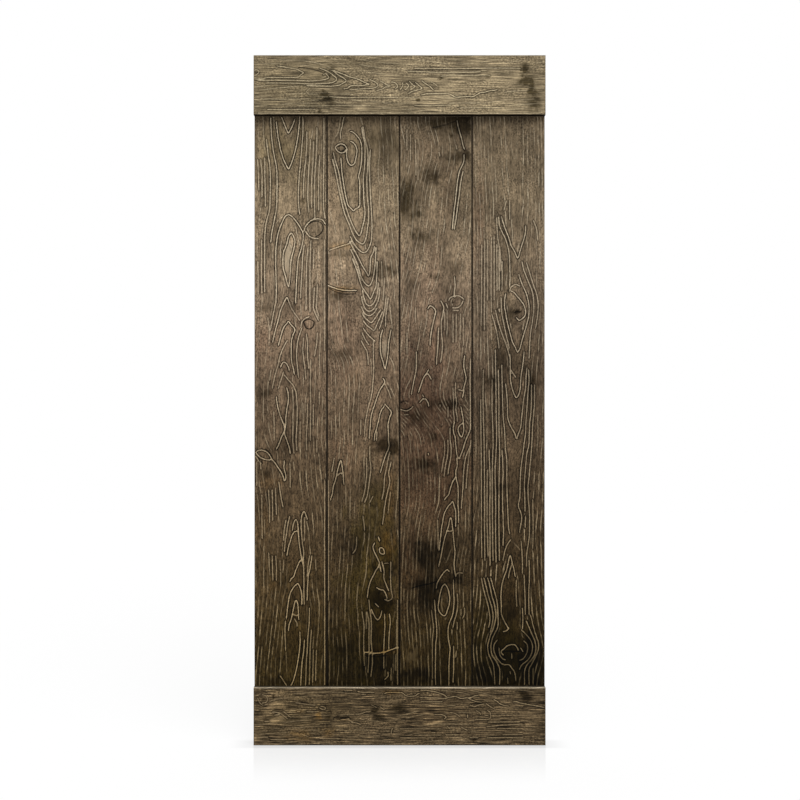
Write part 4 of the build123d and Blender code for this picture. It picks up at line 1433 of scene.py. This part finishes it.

# %% [markdown]
# ## The wood's colours
#
# The stain is thin on the ridges and gathers in the hollows, so a ridge is pale tan between two
# dark flanks. The tone of the ground runs from a warm grey-brown at the top of the planks to
# nearly black at the foot. Ramps from the door's top, at 0, to its foot, at 1, hold both. The
# ground starts darker than it goes on: the shade under the top rail is painted into it. The
# planks' backs leave that part of the ramp out.

# %% Colours from the top to the foot
# the stops down to 0.092 hold painted shade under the top rail
GROUND_STOPS = [
    (0.00, srgb(84, 71, 52)), (0.086, srgb(86, 73, 55)), (0.092, srgb(100, 86, 67)),
    (0.105, srgb(114, 99, 78)), (0.20, srgb(126, 110, 87)), (0.34, srgb(123, 106, 86)),
    (0.46, srgb(104, 87, 69)), (0.60, srgb(84, 69, 51)), (0.74, srgb(63, 50, 32)),
    (0.84, srgb(47, 36, 18)), (0.92, srgb(35, 27, 10)), (1.00, srgb(26, 20, 7)),
]
BACK_STOPS = GROUND_STOPS[3:]
RIDGE_STOPS = [
    (0.00, srgb(168, 152, 126)), (0.20, srgb(207, 190, 160)), (0.36, srgb(201, 183, 155)),
    (0.55, srgb(179, 160, 130)), (0.75, srgb(167, 146, 112)), (0.88, srgb(157, 136, 98)),
    (1.00, srgb(138, 116, 78)),
]
# each rail has one tone: the top rail up to 0.5, and the bottom rail from 0.55 on
RAIL_STOPS = [
    (0.0, srgb(128, 114, 89)), (0.5, srgb(128, 114, 89)), (0.55, srgb(80, 67, 48)), (1.0, srgb(80, 67, 48)),
]
RAIL_RIDGE_STOPS = [
    (0.0, srgb(192, 176, 143)), (0.5, srgb(192, 176, 143)), (0.55, srgb(138, 120, 91)),
    (1.0, srgb(138, 120, 91)),
]
# painted shade: the faces inside the joints between planks are coloured nearly black, darker towards the
# foot
JOINT_SHADE_STOPS = [(0.0, srgb(30, 22, 12)), (0.5, srgb(26, 18, 9)), (1.0, srgb(11, 7, 3))]
# painted shade: a rail's underside is coloured nearly black
UNDERSIDE_SHADE_STOPS = [(0.0, srgb(26, 18, 9)), (1.0, srgb(26, 18, 9))]
# a rail's upper edge is paler, partly from wear and partly a painted highlight of the lit ledge
LEDGE_HIGHLIGHT_AND_WEAR_STOPS = [(0.0, srgb(140, 126, 100)), (1.0, srgb(172, 158, 134))]
print("stops of the planks' ground and ridges:", len(GROUND_STOPS), len(RIDGE_STOPS))

# %% [markdown]
# ## Noises of a front
#
# Wood is uneven at every size: short dashes are the cut ends of fibres, grit is where the brush
# has torn the soft wood, and clouds are where it drank more stain. Each is one noise texture,
# stretched along the grain by its own two lengths. The rails are of finer wood than the planks,
# so `coarse` is 1 for planks and less for rails, and narrows what shows across the grain.

# %% Noises


def wood_noises(paint, across, along, dash_length, coarse):
    """All noises of a front. Each has a width and a length in millimetres and a place of its own."""

    def stretched(width, length, place, **settings):
        return paint.noise(paint.place(across / width, along / length, place), **settings)

    return SimpleNamespace(
        torn=stretched(7, 26, 0.0, detail=3.0, roughness=0.6) - 0.5,
        fray=stretched(3.4, 9, 4.0, detail=2.0) - 0.5,
        broken=stretched(16, 60, 9.0, detail=2.0),
        dash=stretched(4.4 * coarse * coarse, dash_length, 20.0, detail=2.0, roughness=0.65),
        grit=stretched(4.2, 6.5, 30.0, detail=2.0, roughness=0.65),
        gritty=paint.step(stretched(60, 170, 40.0, detail=1.0), 0.42, 0.62),
        cloud=stretched(60, 150, 50.0, detail=3.0, roughness=0.6),
        streak=stretched(9 * coarse**3, 220, 60.0, detail=2.0),
        mottle=stretched(16, 34, 70.0, detail=3.0, roughness=0.6),
    )


print("lengths that the noises run along the grain: 6.5 to 220 mm")

# %% [markdown]
# ## Ridges and their flanks
#
# The shader now turns the stored fields back into lines. A growth ring lies wherever the ring
# count passes a whole number, and dividing by `spread` gives the distance to it in millimetres.
# A random number for each whole count makes some rings strong and others faint, as they are in
# a real board. Round a drawn line the rings step back, so that the two don't cross.

# %% Ridge and flank of rings and drawn lines


def ring_marks(paint, noises):
    """Ridge and flank of the growth rings, each from 0 to 1."""
    count = paint.field("rings") + noises.torn * 0.3 + noises.fray * 0.08
    spread = paint.math("MAXIMUM", paint.field("spread"), 0.006)
    apart = abs(paint.math("FRACT", count + 0.5) - 0.5) / spread
    own = paint.node("ShaderNodeTexWhiteNoise", {"noise_dimensions": "1D"}, W=paint.math("ROUND", count))
    clear = 1 - paint.math("MINIMUM", paint.field("line_strength") * 1.5, 1.0)
    ring = own * 0.45 + 0.08 + paint.field("ridged") * 0.4
    ring = ring * paint.step(noises.broken, 0.42, 0.6, 0.1, 1.0) * clear
    ridge = paint.step(apart, 0.6, 2.6, 1.0, 0.0) * ring
    flank = paint.step(apart, 1.2, 2.6) * paint.step(apart, 2.8, 5.0, 1.0, 0.0) * ring
    return ridge, flank


def line_marks(paint, noises, coarse):
    """Ridge and flank of the drawn lines, each from 0 to 1."""
    strength = paint.field("line_strength") * paint.step(noises.broken, 0.3, 0.5, 0.65, 1.0)
    apart = abs(paint.field("line") + noises.torn * 2.6 + noises.fray * 1.6)
    apart = paint.math("MAXIMUM", apart, paint.field("off_line") - 1.3) / (0.4 + 0.6 * coarse)
    ridge = paint.step(apart, 0.5, 2.2, 1.0, 0.0) * strength
    flank = paint.step(apart, 1.3, 2.1) * paint.step(apart, 3.8, 6.6, 1.0, 0.0)
    return ridge, flank * strength


def all_marks(paint, noises, coarse):
    """The stronger of ring and drawn line at each place."""
    ring_ridge, ring_flank = ring_marks(paint, noises)
    line_ridge, line_flank = line_marks(paint, noises, coarse)
    ridge = paint.math("MAXIMUM", ring_ridge, line_ridge)
    return ridge, paint.math("MAXIMUM", ring_flank, line_flank)


print("a drawn ridge is 4.4 mm wide on a plank, and its flanks reach 6.6 mm to each side")

# %% [markdown]
# ## The ground between the ridges
#
# The ground's tone is a sum in doublings, and only the finished sum multiplies the stain's
# colour. That keeps the contrast even: light wood at the top and dark wood at the foot vary by
# the same share. Fine light specks are held back, because a brushed board has more dark pores
# than light ones. Amber, greener and redder patches then tint the colour, bare ones bring it
# near the ridges' tone, and stains nearly hide it.

# %% Ground and stains
DASH, DASH_AT_FOOT = 3.6, 4.0  # contrast of the fibre dashes at the top, and what the foot adds
AMBER = (1.26, 1.06, 0.72)
GREENER, REDDER = (0.98, 1.02, 0.66), (1.03, 0.9, 0.9)
STAIN = (0.15, 0.14, 0.10)


def fine_tone(paint, noises, height, dash_gain, coarse):
    """Dashes and grit, in doublings."""
    dashes = (DASH + height * DASH_AT_FOOT) * dash_gain
    fine = (noises.dash - 0.5) * dashes * (1.1 - noises.gritty * 0.4)
    fine = fine + (noises.grit - 0.5) * (noises.gritty * 5.0 + 1.8 + height * 1.5)
    return paint.math("MINIMUM", fine, fine * (1.5 - coarse)) + 0.1 * coarse


def broad_tone(paint, noises, coarse):
    """Clouds and long streaks, in doublings, and the board's own tone."""
    soft = (noises.cloud - 0.5) * 3.0 + (noises.mottle - 0.5) * 1.6
    return soft * coarse + (noises.streak - 0.5) * 1.6 + paint.field("tone")


def stain_depth(paint, noises):
    """How dark the grey-black patches are, torn up by three noises."""
    torn = (noises.dash - 0.5) * 0.8 + (noises.mottle - 0.5) * 2.0 + (noises.grit - 0.5) * 2.2
    return paint.field("dark") * (1.0 + torn)


def tinted_ground(paint, color, bare, stain):
    """The ground with its amber, greener, redder, bare and stained patches."""
    hue, bareness = paint.field("hue"), paint.field("pale")
    color = paint.mix(paint.step(paint.field("warm"), 0.0, 1.4), color, paint.tinted(color, AMBER))
    color = paint.mix(paint.step(hue, 0.0, 1.2), color, paint.tinted(color, GREENER))
    color = paint.mix(paint.step(hue, 0.0, -1.2), color, paint.tinted(color, REDDER))
    color = paint.scaled(color, 1.0 + bareness * 0.35)
    color = paint.mix(paint.step(bareness, 0.7, 1.4, 0.0, 0.6), color, paint.scaled(bare, 0.8))
    return paint.mix(paint.step(stain, 0.0, 1.2, 0.0, 0.94), color, paint.tinted(color, STAIN))


print("a stain leaves", STAIN, "of the colour under it")

# %% [markdown]
# ## Shade in the joints
#
# Shade makes a dark line on both sides of a joint, and it is painted here; beside it the
# rounded edge is painted lighter, partly bared by rubbing and partly a painted highlight. Light
# alone doesn't show this at the width of a line, so the colour helps.

# %% Joints between planks


def joint_shade(paint, x):
    """The painted shade and edge highlight that the joints multiply a plank's colour by."""
    joint = abs(paint.math("FRACT", (x - door_left) / plank_cover + 0.5) - 0.5) * plank_cover
    joint = joint + paint.step(abs(x), door_right - 30, door_right - 20, 0.0, 50.0)
    arris = paint.step(joint, 3.8, 5.0) * paint.step(joint, 6.5, 9.0, 0.22, 0.0)
    return paint.step(joint, 2.0, 4.2, 0.3, 1.0) + arris


print("the colour darkens within 4.2 mm of a joint")

# %% [markdown]
# ## The wood's front
#
# Now the pieces come together in the order in which the surface was made: wood with its ground
# tone, stain in the flanks, bared ridges, dark cracks over all. The mesh carries the large
# relief, and a Bump node adds what is finer than its vertices.

# %% Front material


def front_wood(name, upright, ground_stops, ridge_stops, dash_gain, dash_length, coarse):
    """The brushed front of planks (coarse is 1) or rails (coarse is below 1).

    The dashes are dash_length millimetres long, and dash_gain scales their contrast.
    """
    paint = Paint(name)
    x, y, z = paint.object_place()
    across, along = (x, z) if upright else (z, x)
    height = (door_top - z) / plank_length
    noises = wood_noises(paint, across, along, dash_length, coarse)
    ridge, flank = all_marks(paint, noises, coarse)
    fine = fine_tone(paint, noises, height, dash_gain, coarse)
    stain = stain_depth(paint, noises)

    bare = paint.ramp(ridge_stops, height)
    tone = paint.doubled(fine + broad_tone(paint, noises, coarse))
    color = tinted_ground(paint, paint.scaled(paint.ramp(ground_stops, height), tone), bare, stain)
    color = paint.mix(flank * coarse, color, paint.scaled(color, 0.12))

    warm_ridge = paint.tinted(bare, (1.15, 1.0, 0.72))
    bright = paint.mix(paint.step(paint.field("warm"), 0.3, 1.4), bare, warm_ridge)
    ridge_tone = (noises.grit - 0.5) * 2.5 - stain * 0.8 + paint.field("tone") * 0.5
    color = paint.mix(ridge, color, paint.scaled(bright, paint.doubled(ridge_tone)))

    crack = (paint.field("crack") + noises.torn * 1.6 + noises.fray * 1.4) / coarse
    cracked = paint.step(crack, 0.9, 3.2, 1.0, 0.0) * paint.field("crack_strength") * coarse
    color = paint.mix(paint.math("MINIMUM", cracked, 1.0), color, paint.scaled(color, 0.12))
    # painted contact shade: the colour darkens over the lowest 3 mm, where the slab meets the floor
    color = paint.scaled(color, paint.step(z, door_foot, door_foot + 3.0, 0.45, 1.0))
    # painted shade beside the joints, and a painted highlight on their rounded edges
    if upright:
        color = paint.scaled(color, joint_shade(paint, x))

    relief = ridge * 0.5 - flank * 0.35 + fine * 0.12
    bump = paint.node("ShaderNodeBump", Strength=0.7, Distance=0.0008, Height=relief)
    rough = 0.66 + (noises.dash - 0.5) * 0.3 - ridge * 0.08
    return paint.finish(Base_Color=color, Roughness=rough, Normal=bump, Specular_IOR_Level=0.05)


plank_front_wood = front_wood("plank_front_wood", True, GROUND_STOPS, RIDGE_STOPS, 1.15, 19.0, 1.0)
rail_front_wood = front_wood("rail_front_wood", False, RAIL_STOPS, RAIL_RIDGE_STOPS, 2.2, 70.0, 0.75)
print("nodes in the planks' front:", len(plank_front_wood.node_tree.nodes))

# %% [markdown]
# ## Sides, backs and end grain
#
# Nobody sets out the rings of a board's back by hand. Here the shader treats the board as a
# piece of a log: the ring count is the distance from a heart line that wanders a little along
# the board, so the back shows long flames and the sawn ends show arcs, and both agree.

# %% Side material
RING_WIDTH = 8.5  # millimetres from ring to ring
HEART_DEPTH = 27.0  # the log's heart lies this far in front of the door's front plane


def heart_rings(paint, across, along, y, board, middle):
    """Ring count of a board that was sawn from a log with a wandering heart."""
    wander = paint.noise(paint.place(board * 3.7, along / 420, 1.0), detail=2.0) - 0.5
    depth_wander = paint.noise(paint.place(board * 5.1, along / 300, 2.0), detail=2.0) - 0.5
    off = across - middle + wander * 110
    deep = y + HEART_DEPTH + depth_wander * 90
    waver = paint.noise(paint.place(across / 30, along / 160, y / 30), detail=2.0) - 0.5
    return paint.math("SQRT", off * off + deep * deep) / RING_WIDTH + waver * 0.9


def side_wood(name, upright, stops, shaded_from=None):
    """The wood of a board's other faces. From a depth of shaded_from on, it gets painted shade."""
    paint = Paint(name)
    x, y, z = paint.object_place()
    across, along = (x, z) if upright else (z, x)
    if upright:
        board = paint.math("FLOOR", (x - door_left) / plank_cover)
        middle = (board + 0.5) * plank_cover + door_left
    else:
        board = paint.math("LESS_THAN", z, -900.0)
        middle = board * (foot_low[2] + foot_high[2]) / 2

    count = heart_rings(paint, across, along, y, board, middle)
    apart = abs(paint.math("FRACT", count) - 0.5)
    ridge = paint.step(apart, 0.0, 0.16, 1.0, 0.0)
    flank = paint.step(apart, 0.12, 0.22) * paint.step(apart, 0.3, 0.5, 1.0, 0.0)
    fibre = paint.noise(paint.place(across / 2.2, y / 2.2, along / 30), detail=2.0, roughness=0.6)
    pores = paint.noise(paint.place(across / 1.6, y / 1.6, along / 7), detail=2.0)
    cloud = paint.noise(paint.place(across / 70, y / 70, along / 200), detail=3.0)

    ground = paint.ramp(stops, (door_top - z) / plank_length)
    tone = paint.doubled((cloud - 0.5) * 2.0 + (fibre - 0.5) * 3.0 + (pores - 0.5) * 1.5)
    color = paint.scaled(ground, tone)
    color = paint.mix(flank * 0.6, color, paint.scaled(color, 0.4))
    color = paint.mix(ridge * 0.7, color, paint.scaled(color, 1.7))
    # painted contact shade: the colour darkens over the lowest 7 mm, towards the floor
    color = paint.scaled(color, paint.step(z, door_foot, door_foot + 7.0, 0.25, 1.0))
    # painted contact shade along the back of the ledge, where it meets the planks
    if shaded_from is not None:
        color = paint.scaled(color, paint.step(y, shaded_from, shaded_from + 5.0, 1.0, 0.12))
    relief = ridge * 0.4 - flank * 0.25 + (fibre - 0.5) * 0.4
    bump = paint.node("ShaderNodeBump", Strength=0.5, Distance=0.0006, Height=relief)
    rough = 0.66 + (fibre - 0.5) * 0.2
    return paint.finish(Base_Color=color, Roughness=rough, Normal=bump, Specular_IOR_Level=0.12)


plank_woods = [
    plank_front_wood,
    side_wood("plank_side_wood", True, BACK_STOPS),
    # the faces in the joints get painted shade
    side_wood("plank_joint_shade_wood", True, JOINT_SHADE_STOPS),
]
rail_woods = [
    rail_front_wood,
    side_wood("rail_side_wood", False, RAIL_STOPS),
    # a rail's underside gets painted shade
    side_wood("rail_underside_shade_wood", False, UNDERSIDE_SHADE_STOPS),
    # a rail's upper edge gets a painted highlight and wear, with painted shade at its back
    side_wood("rail_ledge_highlight_and_wear_wood", False, LEDGE_HIGHLIGHT_AND_WEAR_STOPS, shaded_from=6.0),
]
print("woods:", [wood.name for wood in plank_woods + rail_woods])

# %% [markdown]
# ## Making the boards
#
# With its woods mixed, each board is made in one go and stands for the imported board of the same
# name, which is hidden. It rides on the slab's one body.

# %% Build the boards
for name in PLANKS:
    finished_board(name, plank_woods)
for name in RAILS:
    finished_board(name, rail_woods)

# %% [markdown]
# ## Screws
#
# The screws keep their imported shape. Their black phosphate finish is a dull dark metal with a
# slightly uneven coat.

# %% Screw material
steel = Paint("screw_steel")
steel_spot = steel.node("ShaderNodeTexCoord", outlet="Object")
coat = steel.noise(steel_spot, scale=900.0, detail=3.0)
steel_color = steel.mix(coat, (0.018, 0.018, 0.018, 1), (0.05, 0.048, 0.045, 1))
steel_material = steel.finish(Base_Color=steel_color, Metallic=0.85, Roughness=0.35 + coat * 0.3)
screws = [node for name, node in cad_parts.items() if name.startswith("screw")]
for node in screws:
    node.data.materials.clear()
    node.data.materials.append(steel_material)
print("screws with the dull black finish:", len(screws))

# %% [markdown]
# ## Floor and background
#
# The slab stands on a pale, faintly polished floor before a white ground. A bright lamp would
# make the ground white too, but it would bleach the wood. So the white comes from what camera
# rays see, and not from more light: for them the floor glows, apart from a thin painted shadow at
# the slab's foot and a weak reflection in front of it. All other rays find a plain matt floor.

# %% Floor
FLOOR_REACH = 6.0  # metres
floor_z = door_foot * MM
corners = [(-1, -1), (1, -1), (1, 1), (-1, 1)]
floor_mesh = bpy.data.meshes.new("floor")
floor_mesh.from_pydata([(FLOOR_REACH * a, FLOOR_REACH * b, floor_z) for a, b in corners], [], [(0, 1, 2, 3)])
floor = bpy.data.objects.new("floor", floor_mesh)
bpy.context.scene.collection.objects.link(floor)
print("floor at", round(floor_z, 4), "m")

# %% Floor material
pale = Paint("floor_pale")
x, y, z = pale.object_place()
rays = pale.tree.nodes.new("ShaderNodeLightPath").outputs
clear = pale.math("MAXIMUM", Signal(pale, rays["Is Camera Ray"]), Signal(pale, rays["Is Glossy Ray"]))
clear = pale.math("MAXIMUM", clear, Signal(pale, rays["Is Transmission Ray"]))
polish = pale.step(y, -310.0, 0.0, 0.0, 0.13)
# painted shadow: the floor's glow is lowered along a thin line at the slab's foot, fading out beside it
under = pale.step(y, -28.0, -12.0) * pale.step(y, 30.0, 60.0, 1.0, 0.0)
beside = pale.step(abs(x), door_right - 4, door_right + 4, 0.22, 0.14)
beside = beside * pale.step(abs(x), door_right, door_right + 90, 1.0, 0.0)
matt = pale.node("ShaderNodeBsdfDiffuse", Color=(0.86, 0.86, 0.86, 1))
gloss = pale.node("ShaderNodeBsdfGlossy", Color=(1, 1, 1, 1), Roughness=0.06)
white = pale.node("ShaderNodeEmission", Color=(1, 1, 1, 1), Strength=1.03 - under * beside)


def mixed(share, first, second):
    """Mixes two shaders on the floor."""
    both = pale.node("ShaderNodeMixShader", Fac=share)
    for target, shader in zip(both.socket.node.inputs[1:], (first, second)):
        pale.tree.links.new(shader.socket, target)
    return both


seen = mixed(polish, mixed(0.18, white, matt), gloss)
pale.node("ShaderNodeOutputMaterial", Surface=mixed(clear, matt, seen))
floor_mesh.materials.append(pale.material)
print("nodes in the floor:", len(pale.tree.nodes))

# %% [markdown]
# ## Light
#
# The slab is lit by soft daylight: an even fill from all sides, and one wide key from the upper
# left in front, which makes the ridges stand out and puts a soft shade under the top rail. The
# world is the fill. Camera, glossy and transmission rays see its white backdrop instead, so the
# fill can be weak and the ground still white.

# %% World
FILL, BACKDROP = 0.36, 1.0
world = bpy.data.worlds.new("studio")
bpy.context.scene.world = world
world.use_nodes = True
sky = world.node_tree
sky.nodes.clear()
rays = sky.nodes.new("ShaderNodeLightPath")
clear_view = rays.outputs["Is Camera Ray"]
for kind in ("Is Glossy Ray", "Is Transmission Ray"):
    either = sky.nodes.new("ShaderNodeMath")
    either.operation = "MAXIMUM"
    sky.links.new(clear_view, either.inputs[0])
    sky.links.new(rays.outputs[kind], either.inputs[1])
    clear_view = either.outputs[0]
choose = sky.nodes.new("ShaderNodeMixShader")
sky.links.new(clear_view, choose.inputs[0])
for strength, target in ((FILL, choose.inputs[1]), (BACKDROP, choose.inputs[2])):
    background = sky.nodes.new("ShaderNodeBackground")
    background.inputs["Color"].default_value = (1, 1, 1, 1)
    background.inputs["Strength"].default_value = strength
    sky.links.new(background.outputs[0], target)
out = sky.nodes.new("ShaderNodeOutputWorld")
sky.links.new(choose.outputs[0], out.inputs[0])
print("fill and backdrop:", FILL, BACKDROP)

# %% Key light
key_data = bpy.data.lights.new("key", "SUN")
key_data.energy = 2.45
key_data.angle = math.radians(55)
key = bpy.data.objects.new("key", key_data)
key.rotation_euler = (math.radians(32), 0, math.radians(20))
bpy.context.scene.collection.objects.link(key)
print("key light:", key_data.energy, "over an angle of", round(math.degrees(key_data.angle)), "degrees")

# %% [markdown]
# ## Camera
#
# The slab is seen straight on from its mid-height, 2.85 m away, which is what makes the rails
# look a little wider than the planks behind them. A longer lens from further off would hide
# that the rails stand in front.

# %% Camera
LENS = 41.54
CAMERA_DISTANCE = 2.853
MIDDLE_HEIGHT = ((door_top + door_foot) / 2) * MM
camera_data = bpy.data.cameras.new("camera")
camera_data.lens = LENS
camera_data.sensor_width = 36.0
camera = bpy.data.objects.new("camera", camera_data)
camera.location = (0.0013, -CAMERA_DISTANCE, MIDDLE_HEIGHT + 0.0008)
camera.rotation_euler = (math.pi / 2, 0, 0)
bpy.context.scene.collection.objects.link(camera)
bpy.context.scene.camera = camera
bpy.context.scene.view_settings.view_transform = "Standard"
print("camera at", [round(value, 4) for value in camera.location])
